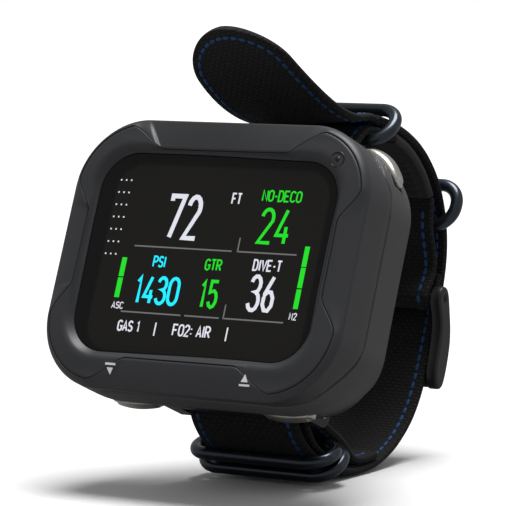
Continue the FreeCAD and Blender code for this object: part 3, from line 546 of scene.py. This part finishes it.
RULES = [(-20.1, 7.2, 1.65, 2.0), (8.7, 24.9, 1.65, 2.0), (8.65, 9.0, 1.65, 5.2),
         (-20.0, -3.1, -14.6, -14.25), (-2.1, 7.5, -14.6, -14.25), (8.6, 25.0, -14.6, -14.25),
         (8.5, 8.85, -14.6, -11.1)]
readings("readings_white", WHITE_WORDS, WHITE_BARS, (0.66, 0.67, 0.74), 0.62)
readings("readings_green", GREEN_WORDS, GREEN_BARS, (0.005, 0.62, 0.01), 0.66)
readings("readings_cyan", CYAN_WORDS, [], (0.005, 0.68, 0.86), 0.8)
readings("readings_rules", [], RULES, (0.17, 0.17, 0.175), 0.35)

# -------------------------------------------------- ribbed grip band
# The rear half of the case is wrapped in a softer dark grey moulding with fine ribs that run round it.
# Its front edge follows the bezel's seam, a hair away, and each button has its own window in it.
BUTTONS = {"left": (-21.0, -CASE[1], -90.0), "right": (21.0, -CASE[1], -90.0)}
BUTTON_DEPTH = 16.9
WINDOW = (7.5, 7.0, 2.7)
SIDE_ANGLE = 51.5
corner_turn = math.radians(SIDE_ANGLE)
BUTTONS["side"] = (CASE[0] - CASE[2] + CASE[2] * math.cos(corner_turn),
                   CASE[1] - CASE[2] + CASE[2] * math.sin(corner_turn), SIDE_ANGLE)
RIBS = 15
RIB_HEIGHT = 0.12
BAND_FRONT, BAND_BACK = 0.95, 23.2
band_rows = []
for inset, ahead in ((1.5, 0.5), (0.4, 0.45), (0.12, 0.7)):
    band_rows.append(ring_row(case_reach - inset, seam + ahead))
for share in np.linspace(0, 1, RIBS * 4 + 1):
    rib = RIB_HEIGHT / 2 * (1 - math.cos(2 * math.pi * share * RIBS))
    depth = seam + BAND_FRONT + (BAND_BACK - seam - BAND_FRONT) * share
    band_rows.append(ring_row(case_reach - 0.02 - rib - taper(turn, depth), depth))
for inset, beyond in ((0.25, 0.4), (0.8, 0.6), (2.4, 0.6)):
    depth = BAND_BACK + beyond
    band_rows.append(ring_row(case_reach - inset - taper(turn, depth), depth))
band_points = np.array(band_rows)
band_quads = wrapped_faces(len(band_rows), len(turn))
centres = band_points.reshape(-1, 3)[band_quads].mean(1)
open_here = np.zeros(len(band_quads), bool)
for x, z, angle in BUTTONS.values():
    heading = (-math.sin(math.radians(angle)), math.cos(math.radians(angle)))
    along = (centres[:, 0] - x) * heading[0] + (centres[:, 2] - z) * heading[1]
    toward = (centres[:, 0] - x) * heading[1] - (centres[:, 2] - z) * heading[0]
    away = np.abs(np.stack([along, toward, centres[:, 1] - BUTTON_DEPTH], -1))
    open_here |= (away < WINDOW).all(1)
kept_quads = band_quads[~open_here]
grip_band = new_piece("grip_band_ribbed", band_points, kept_quads, "case", ["grip_band"])
thicken = grip_band.modifiers.new("wall", "SOLIDIFY")
thicken.thickness = 0.0008
thicken.offset = -1
grip_band.data.materials.append(plastic("grip_elastomer", (0.074, 0.074, 0.074), 0.55, 0.25, 0.02))

# -------------------------------------------------- buttons
# Three keys cast in steel and bead-blasted to a warm grey. Each is a crescent, thickest in the middle,
# with a raised rib along its crown, and slides in its own window.


def metal(name, colour, roughness, grain_mm, grain_depth, metallic=1.0, coat=0.0):
    """Metal with a fine blasted or drawn grain, and slightly brighter, smoother patches."""
    material = plastic(name, colour, roughness, grain_mm, grain_depth, coat)
    material.node_tree.nodes["Principled BSDF"].inputs["Metallic"].default_value = metallic
    return material


blasted_steel = metal("blasted_steel", (0.62, 0.6, 0.56), 0.36, 0.25, 0.012)


def crescent(name, x, z, angle):
    """A key: places along it and round its section. Its height over the case falls to the ends as a power
    of a cosine and its width as a rounded box, and a narrow rib stands on the crown. The side key follows
    the case's corner."""
    heading = np.array([-math.sin(math.radians(angle)), math.cos(math.radians(angle))])
    outward = np.array([math.cos(math.radians(angle)), math.sin(math.radians(angle))])
    length, around_count = 61, 40
    t = np.linspace(-1, 1, length)[:, None]
    a = np.linspace(0, 2 * math.pi, around_count, endpoint=False)[None, :]
    half_long, half_wide = 7.2, 2.35
    height = 1.55 * np.cos(t * math.pi / 2) ** 0.55 + 0.05
    width = half_wide * np.sqrt(np.clip(1 - np.abs(t) ** 3.2, 0, 1)) + 0.04
    across = np.sign(np.cos(a)) * np.abs(np.cos(a)) ** 0.7 * width
    seat, sunk = (-0.05, 1.0) if name == "side" else (-1.4, 1.6)
    rise = np.where(np.sin(a) > 0, np.abs(np.sin(a)) ** 0.8 * height, -sunk * np.abs(np.sin(a)) ** 0.5)
    rib = 0.28 * np.exp(-(across / 0.55) ** 2) * (np.abs(t) < 0.8) * (np.sin(a) > 0)
    notch = -0.22 * np.exp(-((np.abs(t) - 0.83) / 0.035) ** 2) * (np.sin(a) > 0)
    lift = rise + rib + notch + seat
    if name == "side":
        turned = t * half_long / CASE[2]
        centre = np.array([x, z]) - outward * CASE[2]
        ray = outward[:, None, None] * np.cos(turned) + heading[:, None, None] * np.sin(turned)
        spot = centre[:, None, None] + ray * (CASE[2] + lift)
    else:
        spot = np.array([x, z])[:, None, None] + heading[:, None, None] * t * half_long
        spot = spot + outward[:, None, None] * lift
    points = np.stack([spot[0], BUTTON_DEPTH + across, spot[1]], -1)
    faces = wrapped_faces(length, around_count, True).tolist()
    last = (length - 1) * around_count
    faces += [list(range(around_count)), [last + k for k in reversed(range(around_count))]]
    key = new_piece(f"key_{name}", points, faces, f"{name}_button", [f"button_{name}"])
    mend_normals(key)
    key.data.materials.append(blasted_steel)


for key_name, (key_x, key_z, key_angle) in BUTTONS.items():
    crescent(key_name, key_x, key_z, key_angle)

# -------------------------------------------------- webbing
# Black nylon webbing, 30.4 mm wide and 1.8 mm thick, in a coarse plain weave with rounded edges.
# Blue thread runs in long stitches 2.5 mm in from both edges, on both faces.
HALF_WIDTH, HALF_THICK = 15.2, 0.9
STITCH_IN = 2.5
STITCH_PITCH = 2.5
MAIN_ROUTE = [(37.2, -25.6), (34.6, -25.3), (32.4, -26.2), (30.8, -28.3), (31.2, -30.9), (34.4, -33.4),
              (40.0, -36.0), (48.0, -36.9), (56.2, -36.5), (62.1, -35.3), (68.0, -33.1), (73.2, -30.3),
              (78.0, -26.4), (81.9, -22.0), (85.3, -16.4), (87.2, -10.7), (88.1, -5.0), (88.5, 3.0),
              (88.6, 12.0), (88.3, 21.1), (87.1, 28.4), (84.4, 34.6), (80.6, 39.9), (75.8, 44.4),
              (70.1, 47.6), (63.8, 49.6), (57.4, 50.4), (51.6, 50.4), (46.4, 49.9), (41.6, 49.2)]
FOLD_ROUTE = [(37.3, -25.6), (40.2, -26.1), (44.9, -28.0), (50.4, -28.7), (56.0, -30.0), (61.0, -32.5),
              (66.8, -31.2), (71.9, -28.5)]
TAB_ROUTE = [(35.6, -29.6), (38.6, -31.8), (42.4, -34.2), (47.6, -35.0), (53.0, -34.9), (58.0, -34.1)]
UPPER_ROUTE = [(37.6, 29.6), (36.2, 26.4), (33.8, 25.2), (31.6, 26.6), (31.2, 29.6), (32.2, 35.8),
               (34.2, 41.4), (37.8, 45.4), (42.8, 46.5), (47.2, 47.2), (51.2, 47.6)]
SHORT_ROUTE = [(74.5, 39.4), (76.0, 36.0), (77.2, 32.0), (80.9, 27.4), (83.2, 23.4), (82.6, 19.6),
               (81.75, 17.0), (81.75, 15.0), (83.1, 13.75), (84.9, 13.75), (86.25, 15.0), (86.3, 18.4),
               (85.9, 22.6)]


def flowing(route, steps=10):
    """Quadratic spline that touches the middle of every run between the route's points: each point
    weighs (1-t)^2/2, (1+2t-2t^2)/2 and t^2/2 between its neighbours."""
    route = np.array(route)
    padded = np.vstack([2 * route[0] - route[1], route, 2 * route[-1] - route[-2]])
    t = np.linspace(0, 1, steps, endpoint=False)[:, None, None]
    weights = ((1 - t) ** 2, 1 + 2 * t - 2 * t * t, t * t)
    pieces = (weights[0] * padded[:-2] + weights[1] * padded[1:-1] + weights[2] * padded[2:]) / 2
    line = pieces.transpose(1, 0, 2).reshape(-1, 2)
    keep = np.ones(len(line), bool)
    keep[: steps // 2] = False
    keep[len(line) - steps // 2 + 1:] = False
    return line[keep]


def strap_frame(route):
    """Middle line, width direction and outward direction at each station of a strap that lies square
    across the case: the width is the case's own left-right line."""
    line = flowing(route)
    middle = np.column_stack([np.zeros(len(line)), line])
    ahead = np.gradient(middle, axis=0)
    ahead /= np.linalg.norm(ahead, axis=1)[:, None]
    across = np.tile([1.0, 0.0, 0.0], (len(line), 1))
    return middle, across, np.cross(across, ahead)


def travelled_along(middle):
    """Distance from the start at each station."""
    return np.concatenate([[0], np.cumsum(np.linalg.norm(np.diff(middle, axis=0), axis=1))])


TANG_SLOT = 2.2
UV_MM = 100.0


def webbing(name, middle, across, outward, half_width, replaces, slot_at=None, thick=HALF_THICK,
            finish="webbing", relief=None):
    """A band: stations along it by places across it, once for each face. Thickness falls off as an
    ellipse in the last millimetre at each side, and a slot leaves out the quads round the tang."""
    u = travelled_along(middle)
    level = np.linspace(-1, 1, 49)
    share = np.sin(level * math.pi / 2) * 0.35 + level * 0.65
    if slot_at is not None:
        share = np.unique(np.concatenate([share, [-TANG_SLOT / HALF_WIDTH, TANG_SLOT / HALF_WIDTH]]))
    wide = share[None, :] * half_width[:, None]
    from_side = np.clip(half_width[:, None] - np.abs(wide), 0, 1)
    height = thick * (0.3 + 0.7 * np.sqrt(np.clip(1 - (1 - from_side) ** 2, 0, 1)))
    base = middle[:, None] + across[:, None] * wide[..., None]
    along = np.broadcast_to(u[:, None], wide.shape)
    front = height if relief is None else height + relief(along, wide)
    top = base + outward[:, None] * front[..., None]
    bottom = base - outward[:, None] * height[..., None]
    stations, places = wide.shape
    index = np.arange(stations * places).reshape(stations, places)
    under = index + stations * places
    solid = np.ones((stations - 1, places - 1), bool)
    if slot_at is not None:
        centre_u = (u[1:] + u[:-1]) / 2
        centre_w = (wide[0, 1:] + wide[0, :-1]) / 2
        in_length = (centre_u > slot_at[0]) & (centre_u < slot_at[1])
        solid &= ~(in_length[:, None] & (np.abs(centre_w) < TANG_SLOT)[None, :])
    quads = np.stack([index[:-1, :-1], index[:-1, 1:], index[1:, 1:], index[1:, :-1]], -1)[solid]
    faces = [quads, (quads + stations * places)[:, ::-1]]
    guarded = np.pad(solid, 1)
    for axis, near, far in ((0, index[:, :-1], index[:, 1:]), (1, index[:-1, :], index[1:, :])):
        if axis == 0:
            before, after = guarded[:-1, 1:-1], guarded[1:, 1:-1]
        else:
            before, after = guarded[1:-1, :-1], guarded[1:-1, 1:]
        for wall, swap in ((after & ~before, axis == 1), (before & ~after, axis == 0)):
            a, b = near[wall], far[wall]
            side = np.stack([a, b, b + stations * places, a + stations * places], -1)
            faces.append(side if swap else side[:, ::-1])
    both = np.concatenate([top.reshape(-1, 3), bottom.reshape(-1, 3)])
    piece = new_piece(name, both, np.concatenate(faces), "case", replaces)
    flat = np.stack([along, wide], -1).reshape(-1, 2) / UV_MM
    flat = np.concatenate([flat, flat])
    layer = piece.data.uv_layers.new(name="along_and_across")
    corners = np.zeros(len(piece.data.loops), int)
    piece.data.loops.foreach_get("vertex_index", corners)
    layer.data.foreach_set("uv", flat[corners].ravel())
    mend_normals(piece)
    return piece


def weave(name, colour, light, pitch_mm):
    """Plain weave on the band's own along-and-across map: crowns where the product of two sines is
    large, every other one lower, with a soft drift in tone. The crowns are also painted lighter, from
    the first colour to the second, as painted highlight on the thread tops; the bump gives their shape."""
    material, tree, shader = fresh(name)
    uv = tree.nodes.new("ShaderNodeUVMap")
    uv.uv_map = "along_and_across"
    split = tree.nodes.new("ShaderNodeSeparateXYZ")
    tree.links.new(uv.outputs[0], split.inputs[0])
    u = sums(tree, "MULTIPLY", split.outputs["X"], UV_MM * math.pi / pitch_mm)
    v = sums(tree, "MULTIPLY", split.outputs["Y"], UV_MM * math.pi / pitch_mm)
    crown = sums(tree, "MULTIPLY", sums(tree, "SINE", u), sums(tree, "SINE", v))
    lump = sums(tree, "POWER", sums(tree, "ABSOLUTE", crown), 0.6)
    twill = sums(tree, "GREATER_THAN", crown, 0.0)
    height = sums(tree, "MULTIPLY", lump, sums(tree, "MULTIPLY_ADD", twill, 0.45, 0.55))
    fuzz = noise_over(tree, uv.outputs[0], 130, 4)
    drift = sums(tree, "MULTIPLY_ADD", fuzz, 0.9, 0.45)
    tone = sums(tree, "MULTIPLY", height, drift)
    # Painted highlight: the colour rises from near-black to the lighter colour on the weave crowns.
    tree.links.new(blend(tree, tone, colour, light), shader.inputs["Base Color"])
    shader.inputs["Roughness"].default_value = 0.82
    shader.inputs["Sheen Weight"].default_value = 0.04
    shader.inputs["Sheen Roughness"].default_value = 0.5
    shader.inputs["Specular IOR Level"].default_value = 0.3
    bumped(tree, shader, height, 0.9, 0.00022)
    return material


# The second colour is the painted highlight on the weave crowns.
nylon = weave("black_nylon_webbing", (0.0012, 0.0012, 0.0014), (0.021, 0.021, 0.023), 0.95)
blue_thread = plastic("blue_thread", (0.002, 0.062, 0.21), 0.6, 0.2, 0.03)


def stitches(name, middle, across, outward, paths):
    """Thread pulled down at every hole: each stitch is half an ellipsoid, laid along a path given as
    (distance along the band, place across it), at a 2.5 mm pitch."""
    u = travelled_along(middle)
    long_steps, round_steps = 7, 6
    s = np.linspace(-1, 1, long_steps)[:, None]
    a = np.linspace(0, math.pi, round_steps)[None, :]
    girth = 0.46 * np.sqrt(np.clip(1 - s ** 4, 0.0, 1))
    local = np.broadcast_arrays(s * 1.05, np.cos(a) * girth, np.sin(a) * girth * 0.55)
    local = np.stack(local, -1).reshape(-1, 3)
    points, quads = [], []
    grid = np.arange(long_steps * round_steps).reshape(long_steps, round_steps)
    quad = np.stack([grid[:-1, :-1], grid[:-1, 1:], grid[1:, 1:], grid[1:, :-1]], -1).reshape(-1, 4)
    for path in paths:
        path = np.array(path)
        gone = np.concatenate([[0], np.cumsum(np.hypot(*np.diff(path, axis=0).T))])
        spots = np.arange(1.4, gone[-1] - 1.2, STITCH_PITCH)
        here_u, here_w = np.interp(spots, gone, path[:, 0]), np.interp(spots, gone, path[:, 1])
        next_u, next_w = np.interp(spots + 0.3, gone, path[:, 0]), np.interp(spots + 0.3, gone, path[:, 1])

        def spot(at_u, at_w):
            mid = np.stack([np.interp(at_u, u, middle[:, k]) for k in range(3)], -1)
            side = np.stack([np.interp(at_u, u, across[:, k]) for k in range(3)], -1)
            return mid + side * at_w[:, None]
        here, there = spot(here_u, here_w), spot(next_u, next_w)
        forward = (there - here) / np.linalg.norm(there - here, axis=1)[:, None]
        up = np.stack([np.interp(here_u, u, outward[:, k]) for k in range(3)], -1)
        up /= np.linalg.norm(up, axis=1)[:, None]
        for side in (1, -1):
            beside = np.cross(up * side, forward)
            seat = here + up * side * (HALF_THICK - 0.02)
            placed = seat[:, None] + forward[:, None] * local[None, :, 0:1]
            placed += beside[:, None] * local[None, :, 1:2] + (up * side)[:, None] * local[None, :, 2:3]
            first = sum(len(p) for p in points)
            offsets = first + np.arange(len(spots))[:, None, None] * len(local)
            quads.append((quad[None] + offsets).reshape(-1, 4))
            points.append(placed.reshape(-1, 3))
    piece = new_piece(name, np.concatenate(points), np.concatenate(quads), "case")
    piece.data.materials.append(blue_thread)


def straight_paths(middle, low=1.5, high=1.5):
    """Two stitch lines, 2.5 mm in from the sides, from near one end of a band to near the other."""
    end = travelled_along(middle)[-1] - high
    return [[(low, k * (HALF_WIDTH - STITCH_IN)), (end, k * (HALF_WIDTH - STITCH_IN))] for k in (-1, 1)]


def even(middle):
    """The full half width at every station."""
    return np.full(len(middle), HALF_WIDTH)


def nearest_along(middle, back, up):
    """Distance along a band to the station nearest a place."""
    gap = np.hypot(middle[:, 1] - back, middle[:, 2] - up)
    return travelled_along(middle)[int(np.argmin(gap))]


main_line = strap_frame(MAIN_ROUTE)
slot_low, slot_high = nearest_along(main_line[0], 88.5, 0.7), nearest_along(main_line[0], 88.4, 16.1)
webbing("strap_main", *main_line, even(main_line[0]), ["main_strap"], (slot_low, slot_high))
stitches("strap_main_thread", *main_line, straight_paths(main_line[0]))
for label, node, route in (("strap_fold", "strap_fold", FOLD_ROUTE),
                           ("strap_ring_tab", "ring_tab", TAB_ROUTE),
                           ("strap_upper", "upper_strap", UPPER_ROUTE)):
    laid = strap_frame(route)
    webbing(label + "_web", *laid, even(laid[0]), [node])
    stitches(label + "_thread", *laid, straight_paths(laid[0]))
short_line = strap_frame(SHORT_ROUTE)
short_slot = (nearest_along(short_line[0], 82.9, 19.4), nearest_along(short_line[0], 86.3, 18.6))
webbing("strap_short", *short_line, even(short_line[0]), ["short_strap"], short_slot)
stitches("strap_short_thread", *short_line, straight_paths(short_line[0], 3.0, 1.0))

# -------------------------------------------------- free tail of the strap
# The end of the same webbing past the top ring. It is cut round and sealed, holds its curl, and the
# blue stitching follows its rounded tip.
TAIL_LINE = [(0.0, 41.0, 49.2), (0.0, 35.8, 47.4), (3.2, 34.1, 42.3), (-1.5, 14.4, 40.8), (-7.6, -2.7, 56.1)]
TAIL_ACROSS = [(1.0, 0.0, 0.0), (1.0, -2.8, -2.3), (1.0, -5.5, 4.1)]
TAIL_ROUND = 12.4


def bezier(points, t):
    """Bezier curve: each control point weighs its binomial share of t and 1-t."""
    order = len(points) - 1
    return sum(math.comb(order, i) * (t ** i * (1 - t) ** (order - i))[:, None] * np.array(p)
               for i, p in enumerate(points))


def tail_frame():
    """Stations evenly spaced, and closer over the round tip; the width direction is squared to the line."""
    dense = np.linspace(0, 1, 2001)
    gone = travelled_along(bezier(TAIL_LINE, dense))
    straight = np.linspace(0, gone[-1] - TAIL_ROUND, 90, endpoint=False)
    tip = gone[-1] - TAIL_ROUND + TAIL_ROUND * np.sin(np.linspace(0, math.pi / 2, 40))
    t = np.interp(np.concatenate([straight, tip]), gone, dense)
    middle = bezier(TAIL_LINE, t)
    ahead = bezier(TAIL_LINE, np.minimum(t + 1e-4, 1)) - bezier(TAIL_LINE, np.maximum(t - 1e-4, 0))
    ahead /= np.linalg.norm(ahead, axis=1)[:, None]
    across = bezier(TAIL_ACROSS, t)
    across -= ahead * (across * ahead).sum(1)[:, None]
    across /= np.linalg.norm(across, axis=1)[:, None]
    return middle, across, np.cross(across, ahead)


tail_line = tail_frame()
tail_gone = travelled_along(tail_line[0])
into_tip = np.clip((tail_gone - tail_gone[-1] + TAIL_ROUND) / TAIL_ROUND, 0, 1)
tail_half = HALF_WIDTH * np.sqrt(np.clip(1 - into_tip ** 2, 0.0004, 1))
webbing("strap_tail_web", *tail_line, tail_half, ["strap_tail"])
bend = np.linspace(0, math.pi, 60)
tip_start = tail_gone[-1] - TAIL_ROUND
inner_long, inner_wide = TAIL_ROUND - STITCH_IN, HALF_WIDTH - STITCH_IN
tip_path = [(tip_start + inner_long * math.sin(b), inner_wide * math.cos(b)) for b in bend]
tail_path = [(1.0, inner_wide)] + tip_path + [(1.0, -inner_wide)]
stitches("strap_tail_thread", *tail_line, [tail_path])

# -------------------------------------------------- stretch insert
# A moulded rubber link joins the upper webbing to the buckle's webbing. It has a smooth raised border
# and cross ribs on the side towards the arm, near its lower end.
INSERT_ROUTE = [(51.3, 47.6), (57.2, 47.5), (63.6, 46.0), (69.4, 43.4), (74.1, 39.9)]


def insert_relief(along, across):
    """Shallow cross ribs between smooth borders over the lower half of the link."""
    inside = smooth_step(HALF_WIDTH - 2.6 - np.abs(across), 0, 0.8)
    window = smooth_step(along, 11.0, 12.0) * (1 - smooth_step(along, 24.0, 25.0))
    return inside * window * (-0.6 + 0.55 * np.abs(np.sin(along * math.pi / 2.1)))


insert_line = list(strap_frame(INSERT_ROUTE))
fine = np.linspace(0, 1, 160)
own = np.linspace(0, 1, len(insert_line[0]))
insert_line = [np.stack([np.interp(fine, own, part[:, k]) for k in range(3)], -1) for part in insert_line]
insert_line[2] = -insert_line[2]
insert = webbing("stretch_insert", *insert_line, even(insert_line[0]), ["rubber_insert"], thick=1.3,
                 finish="insert_rubber", relief=insert_relief)
insert.data.materials.append(plastic("insert_rubber_black", (0.013, 0.013, 0.0132), 0.6, 0.4, 0.01))
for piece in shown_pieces():
    if piece.name.startswith("strap_") and not piece.data.materials:
        piece.data.materials.append(nylon)

# -------------------------------------------------- rod rings
# Four keeper rings bent from round steel rod and welded shut, with a glossy blue-black coating.
ring_coating = metal("blue_black_coating", (0.045, 0.054, 0.070), 0.27, 2.0, 0.01, metallic=0.85, coat=0.3)


def refinish(node_names, finish):
    """Gives parts that are shown as modelled one finish."""
    for node_name in node_names:
        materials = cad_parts[node_name].data.materials
        materials.clear()
        materials.append(finish)


refinish(["ring_top", "ring_rear", "ring_lower_front", "ring_lower_rear"], ring_coating)

# -------------------------------------------------- buckle
# A black moulded buckle: two long side bars, rounded at the top round the pin and turned in at the foot,
# joined by a cross bar at the foot. A dark disc on each bar is painted shade standing for the hole at the
# pin.
SIDE_BAR = [(81.4, 17.6), (83.2, 19.0), (85.4, 18.4), (87.6, 14.6), (91.0, 8.0), (91.9, 2.0), (91.9, -4.6),
            (90.6, -6.6), (88.4, -6.6), (86.2, -3.0), (86.0, 4.0), (85.0, 9.4), (82.4, 13.0), (81.3, 14.6)]
CROSS_BAR = [(89.8, -6.4), (91.2, -5.8), (91.6, -3.8), (90.9, -2.2), (89.8, -2.2)]


def moulded_bar(outline, stations):
    """A bar across the case: the smoothed outline, drawn in by a set amount at each place across."""
    line = flowing(outline[-2:] + outline + outline[:2], 8)[12:]
    line = line[: 8 * len(outline)]
    ahead = np.roll(line, -1, 0) - np.roll(line, 1, 0)
    ahead /= np.hypot(*ahead.T)[:, None]
    inward = np.column_stack([ahead[:, 1], -ahead[:, 0]])
    if (inward * (line.mean(0) - line)).sum() < 0:
        inward = -inward
    rows_across = []
    for x, drawn_in in stations:
        rows_across.append(np.column_stack([np.full(len(line), x), line + inward * drawn_in]))
    count = len(line)
    quads = wrapped_faces(len(rows_across), count).tolist()
    quads += [list(range(count)), [(len(rows_across) - 1) * count + k for k in range(count)]]
    return np.concatenate(rows_across), quads


bar_points, bar_faces = [], []
BAR_OUTSIDE = 18.9
PIN = (84.0, 16.0)
bar_stations = [(15.9, 0.4), (16.0, 0.15), (16.2, 0.0), (18.2, 0.0), (18.5, 0.08), (18.75, 0.3),
                (BAR_OUTSIDE, 0.7)]
for outline, stations in ((SIDE_BAR, [(-x, d) for x, d in bar_stations]), (SIDE_BAR, bar_stations),
                          (CROSS_BAR, [(-16.1, 0.0), (0.0, 0.0), (16.1, 0.0)])):
    these_points, these_faces = moulded_bar(outline, stations)
    first = sum(len(part) for part in bar_points)
    bar_points.append(these_points)
    bar_faces += [[first + k for k in face] for face in these_faces]
buckle = new_piece("buckle_moulding", np.concatenate(bar_points), bar_faces, "buckle",
                   ["buckle_frame"])
mend_normals(buckle)
for face in buckle.data.polygons:
    face.use_smooth = len(face.vertices) == 4
buckle.data.materials.append(plastic("buckle_black", (0.014, 0.0142, 0.015), 0.45, 0.3, 0.015))
# Painted shade: a near-black disc on each side bar in place of the shadowed inside of the pin hole.
hole_round = np.linspace(0, 2 * math.pi, 32, endpoint=False)
hole_points = [(side * (BAR_OUTSIDE + lift), PIN[0] + r * math.cos(a), PIN[1] + r * math.sin(a))
               for side in (-1, 1) for lift, r in ((0.0, 1.1), (0.03, 1.05)) for a in hole_round]
hole_faces = []
for first in (0, 64):
    hole_faces += (wrapped_faces(2, 32) + first).tolist()
    hole_faces.append(list(range(first + 32, first + 64)))
pin_hole_shade_discs = new_piece("buckle_pin_hole_painted_shade", hole_points, hole_faces, "buckle")
mend_normals(pin_hole_shade_discs)
pin_hole_shade_discs.data.materials.append(plastic("painted_hole_shade", (0.002, 0.002, 0.002), 0.8, 0.3, 0.005))

# -------------------------------------------------- parts at the back and inside
# Plain parts shown as modelled: lugs and back cover moulded in black, stainless fixings, and the
# electronics, seals and springs sealed inside the case.
moulded = plastic("moulded_black", (0.012, 0.012, 0.013), 0.5, 0.3, 0.015)
stainless = metal("stainless", (0.5, 0.49, 0.47), 0.3, 0.6, 0.004)
elastomer = plastic("seal_elastomer", (0.015, 0.015, 0.015), 0.6, 0.4, 0.01)
FINISHES = [
    (moulded, ["rear_cover", "sensor_guard", "lug_top", "lug_bottom", "inner_case", "display_frame",
               "tact_switches"]),
    (stainless, ["pressure_sensor", "rear_cover_screws", "lug_screws", "charging_contacts", "lug_top_pin",
                 "lug_bottom_pin", "buckle_pin", "vibration_motor"]
     + [f"button_{side}_{part}" for side in BUTTONS for part in ("clip", "spring")]),
    (elastomer, ["lens_gasket", "button_seals", "case_seal"]),
    (metal("tang_steel", (0.05, 0.052, 0.056), 0.35, 0.6, 0.004), ["buckle_tang"]),
    (plastic("panel_black", (0.01, 0.01, 0.011), 0.2, 0.5, 0.004), ["display_module"]),
    (plastic("solder_mask", (0.01, 0.09, 0.04), 0.35, 0.5, 0.006), ["main_board"]),
    (metal("foil", (0.6, 0.6, 0.62), 0.4, 1.5, 0.03), ["battery_pack"]),
    (metal("enamelled_copper", (0.5, 0.22, 0.1), 0.35, 0.3, 0.01), ["antenna_coil"]),
    (metal("brass", (0.6, 0.45, 0.2), 0.35, 0.4, 0.005), ["sounder_disc"]),
]
for finish, node_names in FINISHES:
    refinish(node_names, finish)

# -------------------------------------------------- stage
# A pale seamless floor under a soft, even studio light. Floor and air are brighter to the camera than to
# the product, so that the ground stays white and the black parts stay dark.
floor_level = cad_box[0].z - 0.0005
floor_mesh = bpy.data.meshes.new("floor")
floor_corners = [(x, y, floor_level) for x, y in ((-6, -6), (6, -6), (6, 6), (-6, 6))]
floor_mesh.from_pydata(floor_corners, [], [(0, 1, 2, 3)])
floor = added("floor", floor_mesh)
pale, pale_tree, pale_shader = fresh("pale_floor")
looked_at = pale_tree.nodes.new("ShaderNodeLightPath").outputs["Is Camera Ray"]
pale_tree.links.new(spread_over(pale_tree, looked_at, 0.25, 0.98), pale_shader.inputs["Base Color"])
pale_shader.inputs["Roughness"].default_value = 0.9
floor_mesh.materials.append(pale)
world = bpy.data.worlds.new("studio")
bpy.context.scene.world = world
world.use_nodes = True
air = world.node_tree.nodes["Background"]
air.inputs["Color"].default_value = (1.0, 1.0, 1.0, 1)
seen = world.node_tree.nodes.new("ShaderNodeLightPath").outputs["Is Camera Ray"]
world.node_tree.links.new(spread_over(world.node_tree, seen, 0.3, 1.0), air.inputs["Strength"])
bpy.context.scene.view_settings.view_transform = "Standard"


def softbox(name, place, target, width, height, watts):
    """A rectangular lamp aimed at a point."""
    lamp = bpy.data.lights.new(name, "AREA")
    lamp.shape = "RECTANGLE"
    lamp.size, lamp.size_y, lamp.energy = width, height, watts
    holder = added(name, lamp)
    holder.location = place
    holder.rotation_euler = (Vector(target) - Vector(place)).to_track_quat("-Z", "Y").to_euler()


sun = bpy.data.lights.new("high_window", "SUN")
sun.energy = 3.2
sun.angle = math.radians(35)
window = added("high_window", sun)
window.rotation_euler = (Vector((0, 0, 0)) - Vector((0.05, 0.1, 1.0))).to_track_quat("-Z", "Y").to_euler()
softbox("right_rear", (0.75, 0.45, 0.3), (0, 0.03, 0), 0.25, 0.6, 0.12)
